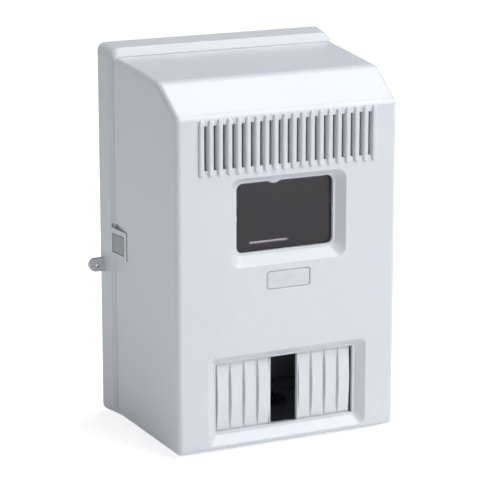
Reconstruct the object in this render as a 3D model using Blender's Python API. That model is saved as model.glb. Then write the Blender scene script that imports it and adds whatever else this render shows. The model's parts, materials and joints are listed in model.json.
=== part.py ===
"""Surface-mounted wall box for an electricity meter and a short row of breaker modules.

The origin is the centre of the flat back face, which lies against the wall. +X is to the
right and +Z up for someone facing the box, and +Y points into the wall. Metres throughout.
"""

import math

import bmesh
import bpy
from mathutils import Matrix, Vector

MM = 0.001

# --- Driving dimensions -----------------------------------------------------------------
GAP = 0.3 * MM  # between pieces that rest on each other
WALL = 2.5 * MM  # moulded wall thickness

# Base tray, outside. The rim flares out past the cover by a sloping shoulder.
BACK_HALF_WIDTH = 77.7 * MM
BACK_TOP = 119.8 * MM
BACK_BOTTOM = -119.5 * MM
BACK_RADIUS = 5.0 * MM
RIM_Y = -17.1 * MM  # where the straight rim ends and the shoulder begins
RIM_HALF_WIDTH = 77.1 * MM
RIM_TOP = 118.2 * MM
RIM_BOTTOM = -119.0 * MM
RIM_RADIUS = 7.5 * MM
SKIRT_DEPTH = 7.0 * MM  # tongue that reaches inside the cover
SKIRT_WALL = 1.8 * MM
SKIRT_CLEARANCE = 0.4 * MM

# Cover, outside.
FRONT_Y = -111.5 * MM
COVER_REAR_Y = -20.8 * MM
FRONT_HALF_WIDTH = 74.0 * MM
REAR_HALF_WIDTH = 75.5 * MM  # the flanks are drafted
COVER_BOTTOM = -117.5 * MM
FACE_TOP = 90.4 * MM  # where the sloping hood meets the front face
HOOD_Y = -85.0 * MM
HOOD_TOP = 107.7 * MM  # where the hood meets the roof
ROOF_REAR_TOP = 113.3 * MM
COVER_RADIUS = 3.5 * MM

# Ventilation: raised ribs with a through slot in each gap.
RIB_COUNT = 20
RIB_SPAN = 115.4 * MM  # centre of the first rib to centre of the last
RIB_WIDTH = 3.4 * MM
RIB_RAISE = 1.4 * MM
RIB_BOTTOM = 54.1 * MM
RIB_TOP = 88.3 * MM
SLOT_WIDTH = 2.9 * MM
SLOT_LENGTH = 26.9 * MM

# Meter window: wide bevelled bezel, then a narrower opening.
METER_BEZEL = (38.7 * MM, -3.6 * MM, 50.6 * MM)  # half width, bottom, top
METER_OPENING = (32.5 * MM, 3.7 * MM, 46.6 * MM)
METER_RECESS = 5.0 * MM
METER_BEZEL_RADIUS = 6.0 * MM
METER_OPENING_RADIUS = 4.0 * MM
LIP = 2.2 * MM  # thickness of the edge around each opening
PANE_MARGIN = 3.2 * MM
PANE_THICKNESS = 1.5 * MM
TOP_TAB_X = -7.3 * MM
TOP_TAB_RADIUS = 6.5 * MM
TOP_TAB_DROP = 1.5 * MM
LIP_FLAT = 1.5 * MM  # width of the flat lip round each opening
SIDE_TAB_RADIUS = 4.0 * MM
SIDE_TAB_DROP = 0.4 * MM

# Breaker window, five 18 mm modules wide.
BREAKER_BEZEL = (53.4 * MM, -113.8 * MM, -58.6 * MM)
BREAKER_OPENING = (46.9 * MM, -106.9 * MM, -63.5 * MM)
BREAKER_RECESS = 4.5 * MM
BREAKER_BEZEL_RADIUS = 4.0 * MM
BREAKER_OPENING_RADIUS = 0.8 * MM

# Blanking plates: four half-module pads each, sliding in a guide frame.
PAD_PITCH = 9.25 * MM
PAD_WIDTH = 7.4 * MM
PADS_PER_PLATE = 4
PAD_RAISE = 2.2 * MM
PLATE_THICKNESS = 1.5 * MM
PLATE_OVERLAP = 2.5 * MM  # above and below the opening
PLATE_LEFT_X = -46.3 * MM  # outer edge of the left plate
PLATE_RIGHT_X = 45.9 * MM  # outer edge of the right plate
END_RIB = 0.8 * MM

# Name plate, left blank.
NAME_PLATE = (14.7 * MM, -19.5 * MM, -8.2 * MM)
NAME_RECESS = 1.2 * MM

# Snap arms on the base, hooked over teeth on the cover.
ARM_INNER_X = 75.9 * MM
ARM_OUTER_X = 77.5 * MM
ARM_FRONT_Y = -38.0 * MM
ARM_BOTTOM = -12.3 * MM
ARM_TOP = 5.9 * MM
GROOVE_HEIGHT = 1.5 * MM  # open space above the arm
GROOVE_DEPTH = 1.5 * MM  # into the flank at its rear edge
ARM_WINDOW = (-34.9 * MM, -18.9 * MM, -9.7 * MM, 2.4 * MM)  # y front, y rear, bottom, top
ARM_BAR_INNER_X = 76.7 * MM
TOOTH_PROUD = 1.0 * MM
TOOTH = (-34.2 * MM, -21.4 * MM, -9.1 * MM, 1.8 * MM)

# Sealing ears at the wall.
EAR_REACH = 9.7 * MM
EAR_HALF_HEIGHT = 4.35 * MM
EAR_Z = -21.2 * MM
EAR_Y = (-5.6 * MM, -2.6 * MM)
EAR_HOLE_RADIUS = 1.3 * MM

# Holes in the back wall.
METER_SLOT = (39.8 * MM, -19.5 * MM, 28.6 * MM, 2.2 * MM)  # centre x, centre z, length, height
TOP_METER_SLOT = (70.0 * MM, 20.0 * MM, 3.0 * MM)  # centre z, length, width
WALL_HOLE = (58.0 * MM, 98.0 * MM, 2.5 * MM)  # half spacing x, half spacing z, radius

# Rail for the breakers, 35 x 7.5 mm top-hat section.
RAIL_Z = -85.1 * MM
RAIL_REAR_Y = -50.0 * MM
RAIL_HEIGHT = 35.0 * MM
RAIL_WEB_HEIGHT = 27.0 * MM
RAIL_DEPTH = 7.5 * MM
RAIL_SHEET = 1.0 * MM
RAIL_HALF_LENGTH = 58.0 * MM
BRACKET_X = 50.0 * MM
BRACKET_SHEET = 2.0 * MM
BRACKET_WIDTH = 26.0 * MM
BRACKET_FOOT = 13.0 * MM
BOSS_HEIGHT = 5.0 * MM
BOSS_RADIUS = 4.5 * MM

# Neutral and earth terminals.
TERMINAL_Z = -50.0 * MM
TERMINAL_COUNT = 4
TERMINAL_PITCH = 9.0 * MM
BAR_SIZE = (38.0 * MM, 8.0 * MM, 6.5 * MM)
BAR_CENTRE_X = 22.5 * MM
HOLDER_SIZE = (92.0 * MM, 10.0 * MM, 12.0 * MM)

# Cable entry plate in the underside.
ENTRY_HALF_WIDTH = 41.0 * MM
ENTRY_FRONT_Y = -61.0 * MM
GROMMET_X = 20.0 * MM
GROMMET_Y = -41.0 * MM
GROMMET_HOLE = 10.3 * MM

CORNER_STEPS = 4
ROUND_STEPS = 16
BEYOND = 5.0 * MM  # how far a cutter runs past what it cuts


# --- Scene and materials ----------------------------------------------------------------
def clear_scene():
    for existing in list(bpy.data.objects):
        bpy.data.objects.remove(existing)


def plain_material(name, colour, roughness, metallic=0.0, alpha=1.0):
    finish = bpy.data.materials.new(name)
    finish.use_nodes = True
    shader = finish.node_tree.nodes["Principled BSDF"]
    shader.inputs["Base Color"].default_value = (*colour, 1.0)
    shader.inputs["Roughness"].default_value = roughness
    shader.inputs["Metallic"].default_value = metallic
    shader.inputs["Alpha"].default_value = alpha
    finish.diffuse_color = (*colour, alpha)
    return finish


# --- Mesh helpers -----------------------------------------------------------------------
def finish_object(name, mesh, material=None, smooth_angle=math.radians(30)):
    bmesh.ops.recalc_face_normals(mesh, faces=mesh.faces)
    data = bpy.data.meshes.new(name)
    mesh.to_mesh(data)
    mesh.free()
    data.shade_smooth()
    data.set_sharp_from_angle(angle=smooth_angle)
    created = bpy.data.objects.new(name, data)
    bpy.context.scene.collection.objects.link(created)
    if material:
        data.materials.append(material)
    return created


def as_tool(tool):
    """Keeps a cutter or a joined-on shape out of the model itself."""
    tool.hide_render = True
    tool.display_type = "WIRE"
    return tool


def combine(target, tool, operation):
    modifier = target.modifiers.new(tool.name, "BOOLEAN")
    modifier.operation = operation
    modifier.solver = "EXACT"
    modifier.object = as_tool(tool)


def cut(target, tool):
    combine(target, tool, "DIFFERENCE")


def join(target, tool):
    combine(target, tool, "UNION")


def add_box(mesh, low, high):
    """Adds a closed box between two corners to a bmesh."""
    size = Vector(high) - Vector(low)
    middle = (Vector(high) + Vector(low)) / 2
    place = Matrix.Translation(middle) @ Matrix.Diagonal((*size, 1.0))
    bmesh.ops.create_cube(mesh, size=1.0, matrix=place)


def box_object(name, low, high, material=None, bevel=0.0):
    mesh = bmesh.new()
    add_box(mesh, low, high)
    if bevel:
        bmesh.ops.bevel(
            mesh, geom=mesh.edges, offset=bevel, segments=2, profile=0.5, affect="EDGES"
        )
    return finish_object(name, mesh, material)


def rounded_rectangle(half_width, bottom, top, radius, y, centre_x=0.0):
    """Corner points of a rounded rectangle that stands in the plane at y."""
    corners = (
        (half_width - radius, top - radius, 0),
        (radius - half_width, top - radius, 90),
        (radius - half_width, bottom + radius, 180),
        (half_width - radius, bottom + radius, 270),
    )
    points = []
    for x, z, start in corners:
        for step in range(CORNER_STEPS + 1):
            angle = math.radians(start + 90 * step / CORNER_STEPS)
            offset = Vector((math.cos(angle), 0, math.sin(angle))) * radius
            points.append(Vector((centre_x + x, y, z)) + offset)
    return points


def add_loft(mesh, loops):
    """Joins loops of equally many points into one closed skin, capped at both ends."""
    rings = [[mesh.verts.new(point) for point in loop] for loop in loops]
    for ring, following in zip(rings, rings[1:]):
        for index in range(len(ring)):
            after = (index + 1) % len(ring)
            mesh.faces.new((ring[index], ring[after], following[after], following[index]))
    mesh.faces.new(reversed(rings[0]))
    mesh.faces.new(rings[-1])


def loft_object(name, loops, material=None):
    mesh = bmesh.new()
    add_loft(mesh, loops)
    return finish_object(name, mesh, material)


def extrude_outline(mesh, outline, offset):
    """Adds the prism that a flat outline makes when it is pushed along offset."""
    start = [mesh.verts.new(point) for point in outline]
    end = [mesh.verts.new(Vector(point) + Vector(offset)) for point in outline]
    for index in range(len(outline)):
        after = (index + 1) % len(outline)
        mesh.faces.new((start[index], start[after], end[after], end[index]))
    mesh.faces.new(reversed(start))
    mesh.faces.new(end)


def prism_object(name, outline, offset, material=None):
    mesh = bmesh.new()
    extrude_outline(mesh, outline, offset)
    return finish_object(name, mesh, material)


def turned_object(name, profile, centre, axis, material=None, steps=ROUND_STEPS):
    """Turns (radius, height) points into a closed solid round an axis through centre.

    The profile starts and ends on the axis.
    """
    turn = Vector((0, 0, 1)).rotation_difference(Vector(axis)).to_matrix().to_4x4()
    place = Matrix.Translation(Vector(centre)) @ turn
    mesh = bmesh.new()
    rings = []
    for radius, height in profile:
        if radius == 0:
            rings.append([mesh.verts.new(place @ Vector((0, 0, height)))])
            continue
        ring = []
        for step in range(steps):
            angle = 2 * math.pi * step / steps
            point = Vector((radius * math.cos(angle), radius * math.sin(angle), height))
            ring.append(mesh.verts.new(place @ point))
        rings.append(ring)
    for ring, following in zip(rings, rings[1:]):
        for index in range(steps):
            after = (index + 1) % steps
            corners = [
                ring[index % len(ring)],
                ring[after % len(ring)],
                following[after % len(following)],
                following[index % len(following)],
            ]
            mesh.faces.new(list(dict.fromkeys(corners)))
    return finish_object(name, mesh, material)


def cylinder_object(name, radius, length, centre, axis, material=None, steps=ROUND_STEPS):
    """A plain cylinder from centre, length long in the direction of axis."""
    profile = ((0, 0), (radius, 0), (radius, length), (0, length))
    return turned_object(name, profile, centre, axis, material, steps)


# --- Cover ------------------------------------------------------------------------------
def offset_outline(outline, distance):
    """Moves each side of a convex (y, z) outline inwards by distance."""
    count = len(outline)
    middle = sum((Vector(point) for point in outline), Vector((0, 0))) / count
    lines = []
    for index in range(count):
        start = Vector(outline[index])
        along = (Vector(outline[(index + 1) % count]) - start).normalized()
        inward = Vector((-along.y, along.x))
        if inward.dot(middle - start) < 0:
            inward.negate()
        lines.append((start + inward * distance, along))
    corners = []
    for index in range(count):
        (start, along), (other, crossing) = lines[index - 1], lines[index]
        scale = along.cross(crossing)
        corners.append(start + along * ((other - start).cross(crossing) / scale))
    return corners


def flank_half_width(y):
    """Half the width of the cover at depth y, where its flanks are drafted."""
    share = (y - FRONT_Y) / (COVER_REAR_Y - FRONT_Y)
    return FRONT_HALF_WIDTH + (REAR_HALF_WIDTH - FRONT_HALF_WIDTH) * share


def hood_body(name, inset, rear_y, radius, material=None):
    """The closed outer shape of the cover, or with an inset the space inside it."""
    outline = [
        (COVER_REAR_Y, COVER_BOTTOM),
        (FRONT_Y, COVER_BOTTOM),
        (FRONT_Y, FACE_TOP),
        (HOOD_Y, HOOD_TOP),
        (COVER_REAR_Y, ROOF_REAR_TOP),
    ]
    bottom_rear, bottom_front, face_top, hood_top, roof_rear = offset_outline(outline, inset)
    roof_slope = (roof_rear.y - hood_top.y) / (roof_rear.x - hood_top.x)
    roof_rear = Vector((rear_y, hood_top.y + roof_slope * (rear_y - hood_top.x)))
    bottom_rear = Vector((rear_y, bottom_rear.y))
    section = [
        Vector((-1, point.x, point.y))
        for point in (bottom_rear, bottom_front, face_top, hood_top, roof_rear)
    ]
    mesh = bmesh.new()
    extrude_outline(mesh, section, (2, 0, 0))
    for vert in mesh.verts:
        vert.co.x = math.copysign(flank_half_width(vert.co.y) - inset, vert.co.x)
    rounded = [
        edge
        for edge in mesh.edges
        if not all(abs(vert.co.y - rear_y) < 1e-6 for vert in edge.verts)
    ]
    bmesh.ops.bevel(
        mesh, geom=rounded, offset=radius, segments=3, profile=0.5, affect="EDGES",
        clamp_overlap=True,
    )
    return finish_object(name, mesh, material)


def window_cutter(name, bezel, opening, recess, bezel_radius, opening_radius):
    """Funnel from the bezel's outline on the face to a flat lip, and on through the opening."""
    half_width, bottom, top = opening
    lip = (half_width + LIP_FLAT, bottom - LIP_FLAT, top + LIP_FLAT)
    lip_radius = opening_radius + LIP_FLAT
    share = BEYOND / recess
    proud = [outer + (outer - inner) * share for outer, inner in zip(bezel, lip)]
    opening_y = FRONT_Y + recess
    grown_radius = bezel_radius + (bezel_radius - lip_radius) * share
    loops = [
        rounded_rectangle(*proud, grown_radius, FRONT_Y - BEYOND),
        rounded_rectangle(*lip, lip_radius, opening_y),
        rounded_rectangle(*opening, opening_radius, opening_y),
        rounded_rectangle(*opening, opening_radius, opening_y + 2 * BEYOND),
    ]
    return loft_object(name, loops)


def window_backing(name, bezel, recess):
    """Solid ring of material behind the face, from which the bezel is cut."""
    half_width, bottom, top = bezel
    margin = 1.2 * MM
    rear_y = FRONT_Y + recess + LIP
    low = (-half_width - margin, FRONT_Y + WALL / 2, bottom - margin)
    high = (half_width + margin, rear_y, top + margin)
    return box_object(name, low, high)


def rib_positions():
    pitch = RIB_SPAN / (RIB_COUNT - 1)
    return [index * pitch - RIB_SPAN / 2 for index in range(RIB_COUNT)]


def vent_ribs():
    """Half-round ribs with rounded ends, all in one mesh."""
    mesh = bmesh.new()
    half_width = RIB_WIDTH / 2
    end_angles = [math.radians(angle) for angle in (20, 50, 90)]
    lower = [(math.sin(a), RIB_BOTTOM + half_width * (1 - math.cos(a))) for a in end_angles]
    upper = [(size, RIB_BOTTOM + RIB_TOP - z) for size, z in reversed(lower)]
    for x in rib_positions():
        loops = []
        for size, z in lower + upper:
            loop = []
            for step in range(8):
                angle = 2 * math.pi * step / 8
                loop.append(
                    Vector((
                        x + size * half_width * math.cos(angle),
                        FRONT_Y + 0.2 * MM + size * RIB_RAISE * 1.15 * math.sin(angle),
                        z,
                    ))
                )
            loops.append(loop)
        add_loft(mesh, loops)
    return finish_object("tool_vent_ribs", mesh)


def vent_slots():
    mesh = bmesh.new()
    ribs = rib_positions()
    middle = (RIB_BOTTOM + RIB_TOP) / 2
    for left, right in zip(ribs, ribs[1:]):
        centre = (left + right) / 2
        low = (centre - SLOT_WIDTH / 2, FRONT_Y - BEYOND, middle - SLOT_LENGTH / 2)
        high = (centre + SLOT_WIDTH / 2, FRONT_Y + BEYOND, middle + SLOT_LENGTH / 2)
        add_box(mesh, low, high)
    return finish_object("tool_vent_slots", mesh)


def pane_tabs():
    """Four small discs that hang into the meter opening and hold the pane back."""
    half_width, bottom, top = METER_OPENING
    middle = (bottom + top) / 2
    front = FRONT_Y + METER_RECESS
    places = (
        ("top", (TOP_TAB_X, top + TOP_TAB_RADIUS - TOP_TAB_DROP), TOP_TAB_RADIUS),
        ("bottom", (0, bottom - SIDE_TAB_RADIUS + SIDE_TAB_DROP), SIDE_TAB_RADIUS),
        ("left", (-half_width - SIDE_TAB_RADIUS + SIDE_TAB_DROP, middle), SIDE_TAB_RADIUS),
        ("right", (half_width + SIDE_TAB_RADIUS - SIDE_TAB_DROP, middle), SIDE_TAB_RADIUS),
    )
    return [
        cylinder_object(
            f"tool_tab_{side}", radius, LIP - 0.5 * MM, (x, front + 0.25 * MM, z), (0, 1, 0)
        )
        for side, (x, z), radius in places
    ]


def cover_tooth(side):
    """Wedge on the cover's flank: steep to the front, ramped to the rear."""
    y_front, y_rear, bottom, top = TOOTH
    root = FRONT_HALF_WIDTH
    proud = flank_half_width(y_front) + TOOTH_PROUD
    outline = [
        (side * root, y_front, bottom),
        (side * proud, y_front, bottom),
        (side * proud, y_front + 2.5 * MM, bottom),
        (side * (flank_half_width(y_rear) + 0.15 * MM), y_rear, bottom),
        (side * root, y_rear, bottom),
    ]
    name = "tool_tooth_right" if side > 0 else "tool_tooth_left"
    return prism_object(name, outline, (0, 0, top - bottom))


def arm_groove(side):
    """Wedge-shaped groove in the flank above the snap arm, deepest at the rear."""
    rear = COVER_REAR_Y + BEYOND
    outside = FRONT_HALF_WIDTH + BEYOND
    outline = [
        (side * flank_half_width(ARM_FRONT_Y), ARM_FRONT_Y, ARM_TOP),
        (side * outside, ARM_FRONT_Y, ARM_TOP),
        (side * outside, rear, ARM_TOP),
        (side * (flank_half_width(COVER_REAR_Y) - GROOVE_DEPTH), rear, ARM_TOP),
    ]
    name = "tool_groove_right" if side > 0 else "tool_groove_left"
    return prism_object(name, outline, (0, 0, GROOVE_HEIGHT))


def build_cover(material):
    cover = hood_body("cover", 0.0, COVER_REAR_Y, COVER_RADIUS, material)
    hollow_rear = COVER_REAR_Y + BEYOND
    cut(cover, hood_body("tool_cover_hollow", WALL, hollow_rear, COVER_RADIUS - WALL))
    join(cover, window_backing("tool_meter_backing", METER_BEZEL, METER_RECESS))
    join(cover, window_backing("tool_breaker_backing", BREAKER_BEZEL, BREAKER_RECESS))
    join(cover, vent_ribs())
    cut(cover, vent_slots())
    cut(cover, window_cutter(
        "tool_meter_window", METER_BEZEL, METER_OPENING, METER_RECESS,
        METER_BEZEL_RADIUS, METER_OPENING_RADIUS,
    ))
    cut(cover, window_cutter(
        "tool_breaker_window", BREAKER_BEZEL, BREAKER_OPENING, BREAKER_RECESS,
        BREAKER_BEZEL_RADIUS, BREAKER_OPENING_RADIUS,
    ))
    for tab in pane_tabs():
        join(cover, tab)
    cut(cover, loft_object("tool_name_recess", [
        rounded_rectangle(*NAME_PLATE, 2.0 * MM, FRONT_Y - BEYOND),
        rounded_rectangle(*NAME_PLATE, 2.0 * MM, FRONT_Y + NAME_RECESS),
    ]))
    for side in (-1, 1):
        join(cover, cover_tooth(side))
        cut(cover, arm_groove(side))
    cut(cover, box_object(
        "tool_entry_notch",
        (-ENTRY_HALF_WIDTH, ENTRY_FRONT_Y, COVER_BOTTOM - BEYOND),
        (ENTRY_HALF_WIDTH, COVER_REAR_Y + BEYOND, COVER_BOTTOM + WALL + 0.5 * MM),
    ))


def build_name_plate(material):
    half_width, bottom, top = NAME_PLATE
    plate = (half_width - GAP, bottom + GAP, top - GAP)
    edge = (half_width - 1.0 * MM, bottom + 1.0 * MM, top - 1.0 * MM)
    floor_y = FRONT_Y + NAME_RECESS - GAP
    loft_object("name_plate", [
        rounded_rectangle(*plate, 1.7 * MM, floor_y),
        rounded_rectangle(*plate, 1.7 * MM, FRONT_Y + 0.5 * MM),
        rounded_rectangle(*edge, 1.2 * MM, FRONT_Y + 0.2 * MM),
    ], material)


def build_window(pane_material, frame_material):
    """Clear pane behind the meter opening and the frame that clamps it."""
    half_width, bottom, top = METER_OPENING
    outline = (half_width + PANE_MARGIN, bottom - PANE_MARGIN, top + PANE_MARGIN)
    front = FRONT_Y + METER_RECESS + LIP + GAP
    rear = front + PANE_THICKNESS
    loft_object("window_pane", [
        rounded_rectangle(*outline, METER_OPENING_RADIUS, front),
        rounded_rectangle(*outline, METER_OPENING_RADIUS, rear),
    ], pane_material)
    wide = tuple(value + sign * 1.6 * MM for value, sign in zip(outline, (1, -1, 1)))
    inner = tuple(value + sign * 1.0 * MM for value, sign in zip(METER_OPENING, (1, -1, 1)))
    frame = loft_object("pane_frame", [
        rounded_rectangle(*wide, METER_OPENING_RADIUS, rear + GAP),
        rounded_rectangle(*wide, METER_OPENING_RADIUS, rear + GAP + 2.0 * MM),
    ], frame_material)
    cut(frame, loft_object("tool_pane_frame", [
        rounded_rectangle(*inner, METER_OPENING_RADIUS, rear - BEYOND),
        rounded_rectangle(*inner, METER_OPENING_RADIUS, rear + BEYOND),
    ]))


# --- Blanking plates --------------------------------------------------------------------
def sheet_front_y():
    """Front of the blanking plates' sheet, just behind the edge of the opening."""
    return FRONT_Y + BREAKER_RECESS + LIP + GAP


def build_guide_frame(material):
    """Frame behind the breaker window, with a rebate that the plates slide in."""
    half_width, bottom, top = BREAKER_OPENING
    front = sheet_front_y()
    lip_y = front + PLATE_THICKNESS + GAP
    frame = box_object(
        "blank_guide_frame",
        (-half_width - 5.5 * MM, front, bottom - 4.6 * MM),
        (half_width + 5.5 * MM, lip_y + 1.6 * MM, top + 4.6 * MM),
        material,
    )
    rebate = PLATE_OVERLAP + 0.4 * MM
    cut(frame, box_object(
        "tool_guide_rebate",
        (-half_width - rebate, front - BEYOND, bottom - rebate),
        (half_width + rebate, lip_y, top + rebate),
    ))
    cut(frame, box_object(
        "tool_guide_opening",
        (-half_width - 0.6 * MM, front - BEYOND, bottom - 0.6 * MM),
        (half_width + 0.6 * MM, lip_y + BEYOND, top + 0.6 * MM),
    ))


def add_pad(mesh, centre_x, bottom, top, root_y):
    """One half-module pad whose front bulges most at mid-height."""
    steps = 8
    loops = []
    for x in (centre_x - PAD_WIDTH / 2, centre_x + PAD_WIDTH / 2):
        loop = [Vector((x, root_y, bottom)), Vector((x, root_y, top))]
        for step in range(steps + 1):
            share = step / steps
            bulge = 1 - (2 * share - 1) ** 2
            front = sheet_front_y() - 0.25 * MM - (PAD_RAISE - 0.25 * MM) * bulge
            loop.append(Vector((x, front, top + (bottom - top) * share)))
        loops.append(loop)
    add_loft(mesh, loops)


def build_blanking_plate(name, left_x, gap_side, material):
    """A sheet with pads, and a thin end rib on the side that faces the free module."""
    _, bottom, top = BREAKER_OPENING
    front = sheet_front_y()
    width = PAD_PITCH * PADS_PER_PLATE
    sheet = box_object(
        name,
        (left_x, front + 0.1 * MM, bottom - PLATE_OVERLAP),
        (left_x + width, front + PLATE_THICKNESS, top + PLATE_OVERLAP),
        material,
    )
    inset = 0.5 * MM
    pads = bmesh.new()
    for index in range(PADS_PER_PLATE):
        centre = left_x + (index + 0.5) * PAD_PITCH
        add_pad(pads, centre, bottom + inset, top - inset, front + PLATE_THICKNESS / 2)
    join(sheet, finish_object(f"tool_pads_{name}", pads))
    rib_low = left_x if gap_side < 0 else left_x + width - END_RIB
    join(sheet, box_object(
        f"tool_end_rib_{name}",
        (rib_low, front - PAD_RAISE * 0.6, bottom + inset),
        (rib_low + END_RIB, front + PLATE_THICKNESS / 2, top - inset),
    ))


# --- Base -------------------------------------------------------------------------------
def build_base(material):
    roof_slope = (ROOF_REAR_TOP - HOOD_TOP) / (COVER_REAR_Y - HOOD_Y)
    seat_y = COVER_REAR_Y + GAP
    skirt_y = seat_y - SKIRT_DEPTH
    skirt = flank_half_width(skirt_y) - WALL - SKIRT_CLEARANCE
    skirt_bottom = COVER_BOTTOM + WALL + SKIRT_CLEARANCE
    skirt_top = ROOF_REAR_TOP - WALL - SKIRT_CLEARANCE
    skirt_front_top = skirt_top - roof_slope * SKIRT_DEPTH
    inner = SKIRT_WALL
    shell = 2.3 * MM
    loops = [
        rounded_rectangle(BACK_HALF_WIDTH, BACK_BOTTOM, BACK_TOP, BACK_RADIUS, 0),
        rounded_rectangle(RIM_HALF_WIDTH, RIM_BOTTOM, RIM_TOP, RIM_RADIUS, RIM_Y),
        rounded_rectangle(
            REAR_HALF_WIDTH, COVER_BOTTOM, ROOF_REAR_TOP, COVER_RADIUS, seat_y
        ),
        rounded_rectangle(skirt, skirt_bottom, skirt_top, 1.5 * MM, seat_y),
        rounded_rectangle(skirt, skirt_bottom, skirt_front_top, 1.5 * MM, skirt_y),
        rounded_rectangle(
            skirt - inner, skirt_bottom + inner, skirt_front_top - inner, 1.0 * MM, skirt_y
        ),
        rounded_rectangle(
            skirt - inner, skirt_bottom + inner, skirt_top - inner, 1.0 * MM, seat_y
        ),
        rounded_rectangle(
            RIM_HALF_WIDTH - shell, RIM_BOTTOM + shell, RIM_TOP - shell, 5.0 * MM, RIM_Y
        ),
        rounded_rectangle(
            BACK_HALF_WIDTH - shell, BACK_BOTTOM + shell, BACK_TOP - shell, 3.0 * MM, -WALL
        ),
    ]
    base = loft_object("base_box", loops, material)
    add_ears(base)
    cut_arm_seats(base)
    add_bosses(base)
    cut_back_wall(base)


def add_ears(base):
    """Round-ended sealing ears that stick out at the wall, each with a small hole."""
    for side, label in ((-1, "left"), (1, "right")):
        centre_x = BACK_HALF_WIDTH + EAR_REACH - EAR_HALF_HEIGHT
        outline = [
            (side * (BACK_HALF_WIDTH - 1.0 * MM), EAR_Y[0], EAR_Z - EAR_HALF_HEIGHT),
        ]
        for step in range(9):
            angle = math.radians(-90 + 180 * step / 8)
            outline.append((
                side * (centre_x + EAR_HALF_HEIGHT * math.cos(angle)),
                EAR_Y[0],
                EAR_Z + EAR_HALF_HEIGHT * math.sin(angle),
            ))
        outline.append(
            (side * (BACK_HALF_WIDTH - 1.0 * MM), EAR_Y[0], EAR_Z + EAR_HALF_HEIGHT)
        )
        join(base, prism_object(f"tool_ear_{label}", outline, (0, EAR_Y[1] - EAR_Y[0], 0)))
        cut(base, cylinder_object(
            f"tool_ear_hole_{label}", EAR_HOLE_RADIUS, 2 * BEYOND,
            (side * (centre_x - 0.6 * MM), EAR_Y[0] - BEYOND, EAR_Z), (0, 1, 0), steps=12,
        ))


def cut_arm_seats(base):
    """Notches in the shoulder that the snap arms pass through."""
    clearance = 0.4 * MM
    for side, label in ((-1, "left"), (1, "right")):
        near = side * (ARM_INNER_X - GAP)
        far = side * (ARM_OUTER_X + BEYOND)
        low = (min(near, far), COVER_REAR_Y - BEYOND, ARM_BOTTOM - clearance)
        high = (max(near, far), RIM_Y, ARM_TOP + GROOVE_HEIGHT)
        cut(base, box_object(f"tool_arm_seat_{label}", low, high))


def bracket_foot_x():
    return BRACKET_X + BRACKET_FOOT / 2 + BRACKET_SHEET / 2


def add_bosses(base):
    """Pillars on the back wall under the rail brackets and the terminal holder."""
    bosses = [
        (f"rail_{label}", (side * bracket_foot_x(), RAIL_Z)) for side, label in
        ((-1, "left"), (1, "right"))
    ]
    bosses += [
        (f"terminal_{label}", (side * HOLDER_SIZE[0] * 0.44, TERMINAL_Z)) for side, label in
        ((-1, "left"), (1, "right"))
    ]
    for label, (x, z) in bosses:
        root = (x, -WALL / 2, z)
        join(base, cylinder_object(
            f"tool_boss_{label}", BOSS_RADIUS, BOSS_HEIGHT + WALL / 2, root, (0, -1, 0)
        ))
        cut(base, cylinder_object(
            f"tool_boss_hole_{label}", 2.0 * MM, BOSS_HEIGHT + BEYOND,
            (x, -WALL, z), (0, -1, 0), steps=12,
        ))


def cut_back_wall(base):
    """Meter slots and wall-fixing holes."""
    mesh = bmesh.new()
    centre_x, slot_z, length, height = METER_SLOT
    for side in (-1, 1):
        low = (side * centre_x - length / 2, -WALL - BEYOND, slot_z - height / 2)
        high = (side * centre_x + length / 2, BEYOND, slot_z + height / 2)
        add_box(mesh, low, high)
    top_z, top_length, top_width = TOP_METER_SLOT
    add_box(
        mesh,
        (-top_width / 2, -WALL - BEYOND, top_z - top_length / 2),
        (top_width / 2, BEYOND, top_z + top_length / 2),
    )
    cut(base, finish_object("tool_meter_slots", mesh))
    half_x, half_z, radius = WALL_HOLE
    for side, label in ((-1, "left"), (1, "right")):
        for level, height_label in ((-1, "low"), (1, "high")):
            cut(base, cylinder_object(
                f"tool_wall_hole_{height_label}_{label}", radius, 2 * BEYOND,
                (side * half_x, -BEYOND, level * half_z), (0, 1, 0), steps=12,
            ))


def build_snap_arm(name, side, material):
    """Springy frame that reaches forward from the rim and hooks over the cover's tooth."""
    def ordered(near, far):
        return min(side * near, side * far), max(side * near, side * far)

    low_x, high_x = ordered(ARM_INNER_X, ARM_OUTER_X)
    arm = box_object(
        name,
        (low_x, ARM_FRONT_Y, ARM_BOTTOM),
        (high_x, RIM_Y - GAP, ARM_TOP),
        material,
    )
    y_front, y_rear, bottom, top = ARM_WINDOW
    low_x, high_x = ordered(ARM_INNER_X - BEYOND, ARM_OUTER_X + BEYOND)
    cut(arm, box_object(
        f"tool_window_{name}", (low_x, y_front, bottom), (high_x, y_rear, top)
    ))
    low_x, high_x = ordered(ARM_INNER_X - BEYOND, ARM_BAR_INNER_X)
    cut(arm, box_object(
        f"tool_relief_{name}",
        (low_x, ARM_FRONT_Y - BEYOND, TOOTH[2] - 0.6 * MM),
        (high_x, y_front + 0.5 * MM, TOOTH[3] + 0.6 * MM),
    ))


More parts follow.
